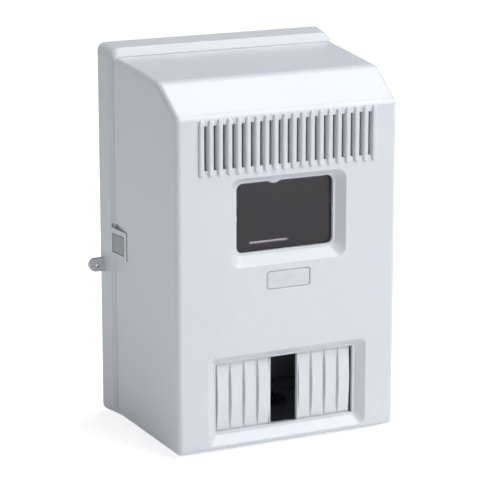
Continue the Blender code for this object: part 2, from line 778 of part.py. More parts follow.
# --- Rail, brackets and terminals -------------------------------------------------------
def build_rail(material):
    """Top-hat rail: a web at the back and two flanges turned out at the front."""
    rear = RAIL_REAR_Y
    front = RAIL_REAR_Y - RAIL_DEPTH
    sheet = RAIL_SHEET
    outer = RAIL_HEIGHT / 2
    web = RAIL_WEB_HEIGHT / 2
    half = [
        (front, outer),
        (front, web - sheet),
        (rear - sheet, web - sheet),
    ]
    back_half = [
        (rear, web),
        (front + sheet, web),
        (front + sheet, outer),
    ]
    outline = half + [(y, -z) for y, z in reversed(half)]
    outline += [(y, -z) for y, z in reversed(back_half)] + back_half
    points = [(-RAIL_HALF_LENGTH, y, RAIL_Z + z) for y, z in outline]
    rail = prism_object("din_rail", points, (2 * RAIL_HALF_LENGTH, 0, 0), material)
    for side, label in ((-1, "left"), (1, "right")):
        cut(rail, cylinder_object(
            f"tool_rail_hole_{label}", 2.3 * MM, 2 * BEYOND,
            (side * rail_screw_x(), RAIL_REAR_Y + BEYOND, RAIL_Z), (0, -1, 0), steps=12,
        ))


def rail_screw_x():
    return BRACKET_X - 6.0 * MM


def build_rail_bracket(name, side, material):
    """Z-shaped sheet bracket: foot on the boss, upright, and a flange under the rail."""
    foot_rear = -WALL - BOSS_HEIGHT - GAP
    foot_front = foot_rear - BRACKET_SHEET
    top_rear = RAIL_REAR_Y + GAP + BRACKET_SHEET
    top_front = RAIL_REAR_Y + GAP
    inner = BRACKET_X
    outer = BRACKET_X + BRACKET_SHEET
    outline = [
        (inner, foot_rear),
        (outer + BRACKET_FOOT, foot_rear),
        (outer + BRACKET_FOOT, foot_front),
        (outer, foot_front),
        (outer, top_front),
        (inner - 12.0 * MM, top_front),
        (inner - 12.0 * MM, top_rear),
        (inner, top_rear),
    ]
    low_z = RAIL_Z - BRACKET_WIDTH / 2
    points = [(side * x, y, low_z) for x, y in outline]
    bracket = prism_object(name, points, (0, 0, BRACKET_WIDTH), material)
    cut(bracket, cylinder_object(
        f"tool_foot_hole_{name}", 2.3 * MM, 2 * BEYOND,
        (side * bracket_foot_x(), foot_rear + BEYOND, RAIL_Z), (0, -1, 0), steps=12,
    ))
    cut(bracket, cylinder_object(
        f"tool_rail_screw_hole_{name}", 2.3 * MM, 2 * BEYOND,
        (side * rail_screw_x(), top_rear + BEYOND, RAIL_Z), (0, -1, 0), steps=12,
    ))


def build_screw(name, seat, shank_radius, shank_length, head_radius, material):
    """Pan-head screw along Y, with its head in front of seat and a slot across it."""
    head = 1.8 * MM
    profile = (
        (0, -shank_length),
        (shank_radius * 0.6, -shank_length),
        (shank_radius, -shank_length + shank_radius),
        (shank_radius, 0),
        (head_radius, 0),
        (head_radius, head * 0.6),
        (head_radius * 0.7, head),
        (0, head),
    )
    screw = turned_object(name, profile, seat, (0, -1, 0), material, steps=12)
    x, y, z = seat
    cut(screw, box_object(
        f"tool_slot_{name}",
        (x - head_radius * 1.2, y - head - BEYOND, z - 0.4 * MM),
        (x + head_radius * 1.2, y - head * 0.5, z + 0.4 * MM),
    ))


def build_rail_fixings(material):
    foot_front = -WALL - BOSS_HEIGHT - GAP - BRACKET_SHEET
    for side, label in ((-1, "left"), (1, "right")):
        build_screw(
            f"bracket_screw_{label}", (side * bracket_foot_x(), foot_front - GAP, RAIL_Z),
            1.6 * MM, 6.2 * MM, 3.4 * MM, material,
        )
        build_screw(
            f"rail_screw_{label}",
            (side * rail_screw_x(), RAIL_REAR_Y - RAIL_SHEET - GAP, RAIL_Z),
            1.9 * MM, 6.0 * MM, 3.6 * MM, material,
        )


def build_terminals(holder_material, bar_material, screw_material):
    """Holder on two bosses, with a brass bar for neutral and one for earth."""
    length, depth, height = HOLDER_SIZE
    rear = -WALL - BOSS_HEIGHT - GAP
    front = rear - depth
    holder = box_object(
        "terminal_holder",
        (-length / 2, front, TERMINAL_Z - height / 2),
        (length / 2, rear, TERMINAL_Z + height / 2),
        holder_material,
        bevel=0.8 * MM,
    )
    bar_length, bar_depth, bar_height = BAR_SIZE
    bar_rear = rear - 3.0 * MM
    for side, label in ((-1, "neutral"), (1, "earth")):
        centre = side * BAR_CENTRE_X
        cut(holder, box_object(
            f"tool_trough_{label}",
            (centre - bar_length / 2 - GAP, front - BEYOND, TERMINAL_Z - bar_height / 2 - GAP),
            (centre + bar_length / 2 + GAP, bar_rear + GAP, TERMINAL_Z + bar_height / 2 + GAP),
        ))
        bar = box_object(
            f"{label}_bar",
            (centre - bar_length / 2, bar_rear - bar_depth, TERMINAL_Z - bar_height / 2),
            (centre + bar_length / 2, bar_rear, TERMINAL_Z + bar_height / 2),
            bar_material,
        )
        for index in range(TERMINAL_COUNT):
            x = centre + (index - (TERMINAL_COUNT - 1) / 2) * TERMINAL_PITCH
            seat_y = bar_rear - bar_depth
            cut(bar, cylinder_object(
                f"tool_thread_{label}_{index + 1}", 2.2 * MM, 5.0 * MM,
                (x, seat_y + 4.5 * MM, TERMINAL_Z), (0, -1, 0), steps=12,
            ))
            build_screw(
                f"{label}_screw_{index + 1}", (x, seat_y - GAP, TERMINAL_Z),
                1.9 * MM, 3.8 * MM, 2.8 * MM, screw_material,
            )


def build_cable_entry(plate_material, rubber_material):
    """Plate that closes the notch in the cover's underside, with two rubber grommets."""
    bottom = COVER_BOTTOM + 0.2 * MM
    top = COVER_BOTTOM + WALL - 0.1 * MM
    plate = box_object(
        "cable_entry_plate",
        (-ENTRY_HALF_WIDTH + GAP, ENTRY_FRONT_Y + GAP, bottom),
        (ENTRY_HALF_WIDTH - GAP, COVER_REAR_Y, top),
        plate_material,
    )
    for side, label in ((-1, "left"), (1, "right")):
        centre = (side * GROMMET_X, GROMMET_Y, 0)
        cut(plate, cylinder_object(
            f"tool_grommet_hole_{label}", GROMMET_HOLE, 4 * BEYOND,
            (side * GROMMET_X, GROMMET_Y, bottom - 2 * BEYOND), (0, 0, 1), steps=24,
        ))
        neck = GROMMET_HOLE - GAP
        flange = GROMMET_HOLE + 1.6 * MM
        profile = (
            (0, bottom - 0.2 * MM),
            (neck - 3.5 * MM, bottom - 0.2 * MM),
            (neck - 1.5 * MM, bottom - GAP - 1.2 * MM),
            (flange, bottom - GAP - 1.2 * MM),
            (flange, bottom - GAP),
            (neck, bottom - GAP),
            (neck, top + GAP),
            (flange, top + GAP),
            (flange, top + GAP + 1.2 * MM),
            (neck - 1.0 * MM, top + GAP + 1.2 * MM),
            (4.5 * MM, top + 5.0 * MM),
            (0, top + 5.0 * MM),
        )
        turned_object(f"grommet_{label}", profile, centre, (0, 0, 1), rubber_material, 24)


def main():
    clear_scene()
    shell_grey = plain_material("shell_plastic", (0.68, 0.70, 0.74), 0.32)
    cover_grey = plain_material("cover_plastic", (0.70, 0.72, 0.76), 0.30)
    blank_grey = plain_material("blank_plastic", (0.72, 0.74, 0.78), 0.34)
    plate_grey = plain_material("name_plate_plastic", (0.66, 0.68, 0.72), 0.30)
    inner_grey = plain_material("inner_plastic", (0.55, 0.56, 0.58), 0.45)
    black_plastic = plain_material("terminal_plastic", (0.10, 0.16, 0.30), 0.45)
    clear = plain_material("clear_pane", (0.95, 0.97, 0.98), 0.05, alpha=0.25)
    rubber = plain_material("grommet_rubber", (0.08, 0.08, 0.09), 0.75)
    zinc = plain_material("zinc_steel", (0.70, 0.71, 0.72), 0.35, metallic=1.0)
    brass = plain_material("terminal_brass", (0.80, 0.62, 0.30), 0.30, metallic=1.0)

    build_base(shell_grey)
    build_snap_arm("snap_arm_left", -1, shell_grey)
    build_snap_arm("snap_arm_right", 1, shell_grey)
    build_cover(cover_grey)
    build_name_plate(plate_grey)
    build_window(clear, inner_grey)
    build_guide_frame(inner_grey)
    plate_width = PAD_PITCH * PADS_PER_PLATE
    build_blanking_plate("blanking_plate_left", PLATE_LEFT_X, 1, blank_grey)
    build_blanking_plate("blanking_plate_right", PLATE_RIGHT_X - plate_width, -1, blank_grey)
    build_rail(zinc)
    build_rail_bracket("rail_bracket_left", -1, zinc)
    build_rail_bracket("rail_bracket_right", 1, zinc)
    build_rail_fixings(zinc)
    build_terminals(black_plastic, brass, zinc)
    build_cable_entry(cover_grey, rubber)


main()
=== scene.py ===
"""Looks of the meter and breaker wall box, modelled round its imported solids.

Everything is in metres in the solids' own frame: the origin is the centre of the flat back
face, +X is to the right, +Z up, and +Y points into the wall.
"""

import json
import logging
import math
from collections.abc import Callable, Iterator
from contextlib import contextmanager
from dataclasses import dataclass, field, replace
from enum import Enum

import bmesh
import bpy
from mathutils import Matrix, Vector

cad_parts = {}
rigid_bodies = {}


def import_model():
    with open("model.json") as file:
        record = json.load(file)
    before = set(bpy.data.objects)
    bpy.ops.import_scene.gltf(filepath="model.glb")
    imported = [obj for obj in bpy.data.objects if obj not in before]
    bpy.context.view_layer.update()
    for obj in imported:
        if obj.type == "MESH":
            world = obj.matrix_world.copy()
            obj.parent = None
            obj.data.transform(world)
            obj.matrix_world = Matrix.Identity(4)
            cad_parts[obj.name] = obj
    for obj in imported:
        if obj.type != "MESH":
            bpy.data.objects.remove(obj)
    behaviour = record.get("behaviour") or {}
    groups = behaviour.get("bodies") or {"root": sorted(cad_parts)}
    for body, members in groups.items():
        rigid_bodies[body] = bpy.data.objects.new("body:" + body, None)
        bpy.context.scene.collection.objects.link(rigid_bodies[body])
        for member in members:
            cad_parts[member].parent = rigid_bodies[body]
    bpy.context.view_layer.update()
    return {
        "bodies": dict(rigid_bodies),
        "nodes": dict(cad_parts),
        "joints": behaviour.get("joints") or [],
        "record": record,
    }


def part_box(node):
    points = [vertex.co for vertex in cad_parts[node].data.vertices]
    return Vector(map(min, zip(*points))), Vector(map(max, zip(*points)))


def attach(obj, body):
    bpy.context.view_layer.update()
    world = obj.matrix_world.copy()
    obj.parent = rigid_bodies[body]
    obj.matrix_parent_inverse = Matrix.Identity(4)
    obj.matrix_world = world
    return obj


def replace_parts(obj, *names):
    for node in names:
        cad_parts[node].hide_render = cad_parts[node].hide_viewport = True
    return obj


MM = 0.001
TOUCH = 1e-6  # places closer than this count as one
NEAR = 1e-5  # the same for places that a Boolean or a bevel has moved
BEYOND = 5.0 * MM  # how far a cutter runs past what it cuts
CORNER_SEGMENTS = 8
NUDGE = 0.01 * MM  # between rings of one plane, so that a bridge can tell their direction

Piece = bpy.types.Object
Socket = bpy.types.NodeSocket
Span = tuple[float, float]
Triple = tuple[float, float, float]
Quad = tuple[float, float, float, float]

log = logging.getLogger("wall_box")


# --- Modelling moves --------------------------------------------------------------------
class Combine(Enum):
    """What a Boolean does with its tool."""

    CUT = "DIFFERENCE"
    JOIN = "UNION"


@dataclass(frozen=True)
class Ring:
    """A rounded rectangle that stands in the plane at y.

    Args:
        half_width: Half of its width.
        bottom: Its lowest z.
        top: Its highest z.
        radius: Corner radius.
        y: Depth of its plane.
        centre_x: Where its middle lies.
    """

    half_width: float
    bottom: float
    top: float
    radius: float
    y: float
    centre_x: float = 0.0

    def grown(self, margin: float, y: float) -> "Ring":
        """The ring with each side moved outwards by margin, at another depth.

        Args:
            margin: Distance, negative to shrink.
            y: The new depth.

        Returns:
            A new ring.
        """
        return replace(
            self,
            half_width=self.half_width + margin,
            bottom=self.bottom - margin,
            top=self.top + margin,
            radius=max(self.radius + margin, 0.1 * MM),
            y=y,
        )

    def at(self, y: float) -> "Ring":
        """The same outline at another depth."""
        return replace(self, y=y)


def make_active(piece: Piece) -> None:
    """Selects one object and nothing else, in object mode.

    Args:
        piece: The object.
    """
    deselect_everything()
    piece.select_set(True)
    bpy.context.view_layer.objects.active = piece


def deselect_everything() -> None:
    """Leaves no object selected, in object mode."""
    if bpy.context.mode != "OBJECT":
        bpy.ops.object.mode_set(mode="OBJECT")
    bpy.ops.object.select_all(action="DESELECT")


@contextmanager
def editing(piece: Piece) -> Iterator[None]:
    """Edit mode on one object, with nothing selected at the start.

    Args:
        piece: The object.
    """
    make_active(piece)
    bpy.ops.object.mode_set(mode="EDIT")
    bpy.ops.mesh.select_all(action="DESELECT")
    yield
    bpy.ops.object.mode_set(mode="OBJECT")


def pick_vertices(piece: Piece, test: Callable[[Vector], bool]) -> None:
    """Selects vertices by their place.

    Args:
        piece: The object in edit mode.
        test: Says of a place whether its vertex is wanted.
    """
    bpy.ops.mesh.select_mode(type="VERT")
    mesh = bmesh.from_edit_mesh(piece.data)
    for vertex in mesh.verts:
        vertex.select_set(bool(test(vertex.co)))
    mesh.select_flush(True)
    bmesh.update_edit_mesh(piece.data)


def pick_edges(piece: Piece, test: Callable[[Vector, Vector], bool]) -> None:
    """Selects edges by their two ends.

    Args:
        piece: The object in edit mode.
        test: Says of an edge's two ends whether the edge is wanted.
    """
    bpy.ops.mesh.select_mode(type="EDGE")
    mesh = bmesh.from_edit_mesh(piece.data)
    for edge in mesh.edges:
        if test(edge.verts[0].co, edge.verts[1].co):
            edge.select_set(True)
    bmesh.update_edit_mesh(piece.data)


def settled(name: str) -> Piece:
    """Names the new active object and moves its place, turn and scale into its mesh.

    Args:
        name: The object's name.

    Returns:
        The object.
    """
    piece = bpy.context.active_object
    piece.name = piece.data.name = name
    bpy.ops.object.transform_apply(location=True, rotation=True, scale=True)
    return piece


def add_block(name: str, low: Vector, high: Vector) -> Piece:
    """A box between two corners.

    Args:
        name: The object's name.
        low: Lowest corner.
        high: Highest corner.

    Returns:
        The box.
    """
    deselect_everything()
    low, high = Vector(low), Vector(high)
    bpy.ops.mesh.primitive_cube_add(size=1, location=(low + high) / 2, scale=high - low)
    return settled(name)


def add_rod(
    name: str, radius: float, start: Vector, run: Vector, segments: int = 48
) -> Piece:
    """A cylinder from start, as long as run and in its direction.

    Args:
        name: The object's name.
        radius: Its radius.
        start: Centre of its first end.
        run: From the first end to the second.
        segments: Sides of the cylinder.

    Returns:
        The cylinder.
    """
    deselect_everything()
    start, run = Vector(start), Vector(run)
    turn = Vector((0, 0, 1)).rotation_difference(run).to_euler()
    bpy.ops.mesh.primitive_cylinder_add(
        vertices=segments, radius=radius, depth=run.length,
        location=start + run / 2, rotation=turn,
    )
    return settled(name)


def add_ring(name: str, ring: Ring) -> Piece:
    """The outline of a ring as a closed loop of edges with no face.

    Args:
        name: The object's name, and the name of the loop's vertex group.
        ring: The outline.

    Returns:
        The loop.
    """
    deselect_everything()
    centre = (ring.centre_x, ring.y, (ring.bottom + ring.top) / 2)
    bpy.ops.mesh.primitive_plane_add(size=1, location=centre, rotation=(math.pi / 2, 0, 0))
    loop = settled(name)
    with editing(loop):
        bpy.ops.mesh.select_all(action="SELECT")
        bpy.ops.transform.resize(
            value=(2 * ring.half_width, 1, ring.top - ring.bottom), center_override=centre
        )
        bpy.ops.mesh.bevel(
            offset=ring.radius, segments=CORNER_SEGMENTS, profile=0.5, affect="VERTICES"
        )
        bpy.ops.mesh.select_all(action="SELECT")
        bpy.ops.mesh.delete(type="ONLY_FACE")
    group = loop.vertex_groups.new(name=name)
    group.add([vertex.index for vertex in loop.data.vertices], 1.0, "REPLACE")
    return loop


def loft(name: str, rings: list[Ring]) -> Piece:
    """A closed skin over rings in order, filled at both ends.

    Args:
        name: The object's name.
        rings: The outlines, from one end to the other.

    Returns:
        The solid.
    """
    loops = [add_ring(f"loop_{index:02d}", ring) for index, ring in enumerate(rings)]
    make_active(loops[0])
    for loop in loops:
        loop.select_set(True)
    bpy.ops.object.join()
    solid = bpy.context.active_object
    solid.name = solid.data.name = name
    groups = [group.name for group in solid.vertex_groups]
    with editing(solid):
        bpy.ops.mesh.select_mode(type="EDGE")
        for pair in zip(groups, groups[1:]):
            bpy.ops.mesh.select_all(action="DESELECT")
            for group in pair:
                bpy.ops.object.vertex_group_set_active(group=group)
                bpy.ops.object.vertex_group_select()
            bpy.ops.mesh.bridge_edge_loops()
        for group in (groups[0], groups[-1]):
            bpy.ops.mesh.select_all(action="DESELECT")
            bpy.ops.object.vertex_group_set_active(group=group)
            bpy.ops.object.vertex_group_select()
            bpy.ops.mesh.edge_face_add()
        bpy.ops.mesh.select_all(action="SELECT")
        bpy.ops.mesh.normals_make_consistent(inside=False)
    solid.vertex_groups.clear()
    return solid


def apply_modifier(piece: Piece, modifier: bpy.types.Modifier) -> None:
    """Makes a modifier's result the mesh itself.

    Args:
        piece: The object.
        modifier: One of its modifiers.
    """
    make_active(piece)
    bpy.ops.object.modifier_apply(modifier=modifier.name)


def combine(piece: Piece, tool: Piece, how: Combine) -> None:
    """Cuts a tool out of a piece or joins it on, and removes the tool.

    Args:
        piece: The object that stays.
        tool: The object that is used up.
        how: Cut or join.
    """
    modifier = piece.modifiers.new("combine", "BOOLEAN")
    modifier.operation = how.value
    modifier.solver = "EXACT"
    modifier.object = tool
    apply_modifier(piece, modifier)
    bpy.data.objects.remove(tool, do_unlink=True)


def repeat(piece: Piece, count: int, step: Vector) -> None:
    """Copies a mesh in a row within its own object.

    Args:
        piece: The object.
        count: How many there are in all.
        step: From each to the next.
    """
    modifier = piece.modifiers.new("row", "ARRAY")
    modifier.count = count
    modifier.use_relative_offset = False
    modifier.use_constant_offset = True
    modifier.constant_offset_displace = step
    apply_modifier(piece, modifier)


def soften(
    piece: Piece, width: float, segments: int = 3, angle: float = 35.0
) -> None:
    """Rounds every edge that turns by more than an angle.

    Args:
        piece: The object.
        width: Size of the round.
        segments: Faces across it.
        angle: The least turn that is rounded, in degrees.
    """
    modifier = piece.modifiers.new("soften", "BEVEL")
    modifier.width = width
    modifier.segments = segments
    modifier.limit_method = "ANGLE"
    modifier.angle_limit = math.radians(angle)
    modifier.use_clamp_overlap = True
    apply_modifier(piece, modifier)


def smooth(piece: Piece, angle: float = 38.0) -> None:
    """Closes slits left by Booleans, shades gentle turns smooth and keeps flat faces flat.

    Args:
        piece: The object.
        angle: The turn past which an edge stays sharp, in degrees.
    """
    with editing(piece):
        bpy.ops.mesh.select_all(action="SELECT")
        bpy.ops.mesh.fill_holes(sides=4)
    make_active(piece)
    bpy.ops.object.shade_smooth_by_angle(angle=math.radians(angle))
    modifier = piece.modifiers.new("flat_faces", "WEIGHTED_NORMAL")
    modifier.keep_sharp = True
    modifier.weight = 80
    apply_modifier(piece, modifier)


# --- Effects shared by the finishes -----------------------------------------------------
class EffectGroup:
    """A shader node group under construction."""

    def __init__(self, name: str, inputs: dict[str, float], outputs: list[str]) -> None:
        """Makes the group with its sockets.

        Args:
            name: The group's name.
            inputs: Input names with their usual values.
            outputs: Output names.
        """
        self.tree = bpy.data.node_groups.new(name, "ShaderNodeTree")
        for label, value in inputs.items():
            socket = self.tree.interface.new_socket(
                name=label, in_out="INPUT", socket_type="NodeSocketFloat"
            )
            socket.default_value = value
        for label in outputs:
            self.tree.interface.new_socket(
                name=label, in_out="OUTPUT", socket_type="NodeSocketFloat"
            )
        self.entry = self.tree.nodes.new("NodeGroupInput")
        self.exit = self.tree.nodes.new("NodeGroupOutput")

    def node(self, kind: str, **settings: object) -> bpy.types.Node:
        """Adds a node.

        Args:
            kind: Its type.
            settings: Properties to set on it.

        Returns:
            The node.
        """
        made = self.tree.nodes.new(kind)
        for label, value in settings.items():
            setattr(made, label, value)
        return made

    def link(self, source: Socket, target: Socket) -> None:
        """Joins two sockets."""
        self.tree.links.new(source, target)

    def noise(self, scale: object, detail: float, roughness: float) -> bpy.types.Node:
        """Adds noise on object coordinates.

        Args:
            scale: A socket that gives its scale, or a number.
            detail: Octaves.
            roughness: How much the fine octaves count.

        Returns:
            The noise node.
        """
        place = self.node("ShaderNodeTexCoord")
        made = self.node("ShaderNodeTexNoise")
        self.link(place.outputs["Object"], made.inputs["Vector"])
        if isinstance(scale, Socket):
            self.link(scale, made.inputs["Scale"])
        else:
            made.inputs["Scale"].default_value = scale
        made.inputs["Detail"].default_value = detail
        made.inputs["Roughness"].default_value = roughness
        return made

    def remap(
        self, source: Socket, low: float, high: float
    ) -> Socket:
        """Stretches a value so that low becomes 0 and high becomes 1.

        Args:
            source: The value.
            low: What becomes 0.
            high: What becomes 1.

        Returns:
            The stretched value, clamped.
        """
        made = self.node("ShaderNodeMapRange")
        made.inputs["From Min"].default_value = low
        made.inputs["From Max"].default_value = high
        self.link(source, made.inputs["Value"])
        return made.outputs["Result"]

    def product(
        self, first: Socket, second: Socket
    ) -> Socket:
        """Multiplies two values."""
        made = self.node("ShaderNodeMath", operation="MULTIPLY")
        self.link(first, made.inputs[0])
        self.link(second, made.inputs[1])
        return made.outputs[0]


class Effects:
    """The node groups that the finishes share, each built once."""

    def __init__(self) -> None:
        """Builds the groups."""
        self.grain = self._grain()
        self.wear = self._wear()
        self.dust = self._dust()
        self.streaks = self._streaks()

    @staticmethod
    def _grain() -> bpy.types.NodeTree:
        """Fine moulded texture and a broad, faint unevenness.

        Returns:
            A group that puts out Height and Mottle.
        """
        group = EffectGroup(
            "moulded_grain", {"Grain Scale": 1500.0, "Mottle Scale": 16.0}, ["Height", "Mottle"]
        )
        fine = group.noise(group.entry.outputs["Grain Scale"], 3.0, 0.55)
        broad = group.noise(group.entry.outputs["Mottle Scale"], 4.0, 0.5)
        group.link(group.remap(fine.outputs["Fac"], 0.25, 0.75), group.exit.inputs["Height"])
        group.link(group.remap(broad.outputs["Fac"], 0.3, 0.7), group.exit.inputs["Mottle"])
        return group.tree

    @staticmethod
    def _wear() -> bpy.types.NodeTree:
        """Rubbed patches along outer edges.

        Returns:
            A group that puts out Mask.
        """
        group = EffectGroup("edge_wear", {"Amount": 0.5, "Scale": 120.0}, ["Mask"])
        geometry = group.node("ShaderNodeNewGeometry")
        edge = group.remap(geometry.outputs["Pointiness"], 0.52, 0.62)
        patch = group.noise(group.entry.outputs["Scale"], 5.0, 0.6)
        broken = group.product(edge, group.remap(patch.outputs["Fac"], 0.42, 0.62))
        group.link(
            group.product(broken, group.entry.outputs["Amount"]), group.exit.inputs["Mask"]
        )
        return group.tree

    @staticmethod
    def _dust() -> bpy.types.NodeTree:
        """Thin dust that settles on faces that look up.

        Returns:
            A group that puts out Mask.
        """
        group = EffectGroup("settled_dust", {"Amount": 0.2, "Scale": 60.0}, ["Mask"])
        geometry = group.node("ShaderNodeNewGeometry")
        split = group.node("ShaderNodeSeparateXYZ")
        group.link(geometry.outputs["Normal"], split.inputs[0])
        upward = group.remap(split.outputs["Z"], 0.35, 1.0)
        patch = group.noise(group.entry.outputs["Scale"], 6.0, 0.65)
        cover = group.product(upward, group.remap(patch.outputs["Fac"], 0.35, 0.7))
        group.link(
            group.product(cover, group.entry.outputs["Amount"]), group.exit.inputs["Mask"]
        )
        return group.tree

    @staticmethod
    def _streaks() -> bpy.types.NodeTree:
        """Rolling marks that run along X, as on drawn or brushed metal.

        Returns:
            A group that puts out Height and Streak.
        """
        group = EffectGroup("rolled_streaks", {"Scale": 900.0}, ["Height", "Streak"])
        place = group.node("ShaderNodeTexCoord")
        stretch = group.node("ShaderNodeMapping")
        stretch.inputs["Scale"].default_value = (0.02, 1.0, 1.0)
        noise = group.node("ShaderNodeTexNoise")
        noise.inputs["Detail"].default_value = 3.0
        group.link(place.outputs["Object"], stretch.inputs["Vector"])
        group.link(stretch.outputs["Vector"], noise.inputs["Vector"])
        group.link(group.entry.outputs["Scale"], noise.inputs["Scale"])
        broad = group.noise(45.0, 3.0, 0.5)
        group.link(group.remap(noise.outputs["Fac"], 0.3, 0.7), group.exit.inputs["Height"])
        group.link(group.remap(broad.outputs["Fac"], 0.35, 0.65), group.exit.inputs["Streak"])
        return group.tree


# --- Finishes ---------------------------------------------------------------------------
Colour = Triple


class MaterialBuilder:
    """Adds nodes to one material round its Principled shader."""

    def __init__(self, name: str) -> None:
        """Makes an empty material.

        Args:
            name: The material's name.
        """
        self.material = bpy.data.materials.new(name)
        self.material.use_nodes = True
        self.tree = self.material.node_tree
        self.shader = self.tree.nodes["Principled BSDF"]

    def effect(self, group: bpy.types.NodeTree, **values: float) -> bpy.types.Node:
        """Places a shared effect with its own values.

        Args:
            group: The node group.
            values: Input values, with _ for a space in a name.

        Returns:
            The group's node.
        """
        made = self.tree.nodes.new("ShaderNodeGroup")
        made.node_tree = group
        for label, value in values.items():
            made.inputs[label.replace("_", " ")].default_value = value
        return made

    def blend(
        self, mask: Socket, first: object, second: Colour
    ) -> Socket:
        """Mixes two colours by a mask.

        Args:
            mask: 0 gives the first, 1 the second.
            first: A colour, or a socket that gives one.
            second: A colour.

        Returns:
            The mixed colour.
        """
        made = self.tree.nodes.new("ShaderNodeMix")
        made.data_type = "RGBA"
        self.tree.links.new(mask, made.inputs["Factor"])
        if isinstance(first, Socket):
            self.tree.links.new(first, made.inputs["A"])
        else:
            made.inputs["A"].default_value = (*first, 1.0)
        made.inputs["B"].default_value = (*second, 1.0)
        return made.outputs["Result"]

    def spread(
        self, source: Socket, low: float, high: float
    ) -> Socket:
        """Turns a value from 0 to 1 into one from low to high.

        Args:
            source: The value.
            low: Result at 0.
            high: Result at 1.

        Returns:
            The result.
        """
        made = self.tree.nodes.new("ShaderNodeMapRange")
        made.inputs["To Min"].default_value = low
        made.inputs["To Max"].default_value = high
        self.tree.links.new(source, made.inputs["Value"])
        return made.outputs["Result"]

    def relief(self, height: Socket, depth: float, strength: float) -> None:
        """Feeds a bump into the shader.

        Args:
            height: Height from 0 to 1.
            depth: How deep it is, in metres.
            strength: How much of it shows.
        """
        bump = self.tree.nodes.new("ShaderNodeBump")
        bump.inputs["Distance"].default_value = depth
        bump.inputs["Strength"].default_value = strength
        self.tree.links.new(height, bump.inputs["Height"])
        self.tree.links.new(bump.outputs["Normal"], self.shader.inputs["Normal"])

    def feed(self, source: Socket, label: str) -> None:
        """Joins a value to one of the shader's sockets."""
        self.tree.links.new(source, self.shader.inputs[label])

    def fix(self, **values: float) -> None:
        """Sets plain numbers on the shader's own sockets, with _ for a space in a name."""
        for label, value in values.items():
            self.shader.inputs[label.replace("_", " ")].default_value = value


@dataclass(frozen=True)
class MouldedPlastic:
    """Injection-moulded thermoplastic with a fine mould texture.

    Args:
        name: The material's name.
        colour: Its colour, linear.
        roughness: Middle of its roughness.
        grain_depth: Depth of the mould texture, in metres.
        wear: How much its edges are rubbed.
        dust: How much dust lies on it.
    """

    name: str
    colour: Colour
    roughness: float = 0.3
    grain_depth: float = 0.012 * MM
    wear: float = 0.2
    dust: float = 0.05

    def build(self, effects: Effects) -> bpy.types.Material:
        """Makes the material.

        Args:
            effects: The shared node groups.

        Returns:
            The material.
        """
        builder = MaterialBuilder(self.name)
        grain = builder.effect(effects.grain, Grain_Scale=1500.0, Mottle_Scale=16.0)
        wear = builder.effect(effects.wear, Amount=self.wear, Scale=150.0)
        dust = builder.effect(effects.dust, Amount=self.dust, Scale=70.0)
        deeper = tuple(channel * 0.985 for channel in self.colour)
        rubbed = tuple(min(channel * 1.08, 0.9) for channel in self.colour)
        colour = builder.blend(grain.outputs["Mottle"], self.colour, deeper)
        colour = builder.blend(wear.outputs["Mask"], colour, rubbed)
        colour = builder.blend(dust.outputs["Mask"], colour, (0.62, 0.60, 0.56))
        builder.feed(colour, "Base Color")
        low, high = self.roughness - 0.02, self.roughness + 0.02
        builder.feed(builder.spread(grain.outputs["Mottle"], low, high), "Roughness")
        builder.relief(grain.outputs["Height"], self.grain_depth, 0.35)
        builder.fix(IOR=1.48)
        return builder.material


@dataclass(frozen=True)
class PlatedMetal:
    """Rolled sheet or turned metal with a plated or plain surface.

    Args:
        name: The material's name.
        colour: Its colour, linear.
        dull: Colour of the duller patches.
        roughness: Lowest roughness.
    """

    name: str
    colour: Colour
    dull: Colour
    roughness: float = 0.36

    def build(self, effects: Effects) -> bpy.types.Material:
        """Makes the material.

        Args:
            effects: The shared node groups.

        Returns:
            The material.
        """
        builder = MaterialBuilder(self.name)
        streaks = builder.effect(effects.streaks, Scale=900.0)
        dust = builder.effect(effects.dust, Amount=0.15, Scale=90.0)
        colour = builder.blend(streaks.outputs["Streak"], self.colour, self.dull)
        colour = builder.blend(dust.outputs["Mask"], colour, (0.45, 0.44, 0.42))
        builder.feed(colour, "Base Color")
        rough = builder.spread(streaks.outputs["Streak"], self.roughness, self.roughness + 0.16)
        builder.feed(rough, "Roughness")
        builder.relief(streaks.outputs["Height"], 0.01 * MM, 0.3)
        builder.fix(Metallic=1.0)
        return builder.material


@dataclass(frozen=True)
class SoftRubber:
    """Matt moulded rubber with a bloom of dust.

    Args:
        name: The material's name.
        colour: Its colour, linear.
    """

    name: str
    colour: Colour

    def build(self, effects: Effects) -> bpy.types.Material:
        """Makes the material.

        Args:
            effects: The shared node groups.

        Returns:
            The material.
        """
        builder = MaterialBuilder(self.name)
        grain = builder.effect(effects.grain, Grain_Scale=900.0, Mottle_Scale=90.0)
        dust = builder.effect(effects.dust, Amount=0.5, Scale=200.0)
        bloom = tuple(channel * 1.7 for channel in self.colour)
        colour = builder.blend(grain.outputs["Mottle"], self.colour, bloom)
        colour = builder.blend(dust.outputs["Mask"], colour, (0.3, 0.29, 0.27))
        builder.feed(colour, "Base Color")
        builder.feed(builder.spread(grain.outputs["Mottle"], 0.62, 0.82), "Roughness")
        builder.relief(grain.outputs["Height"], 0.03 * MM, 0.4)
        return builder.material


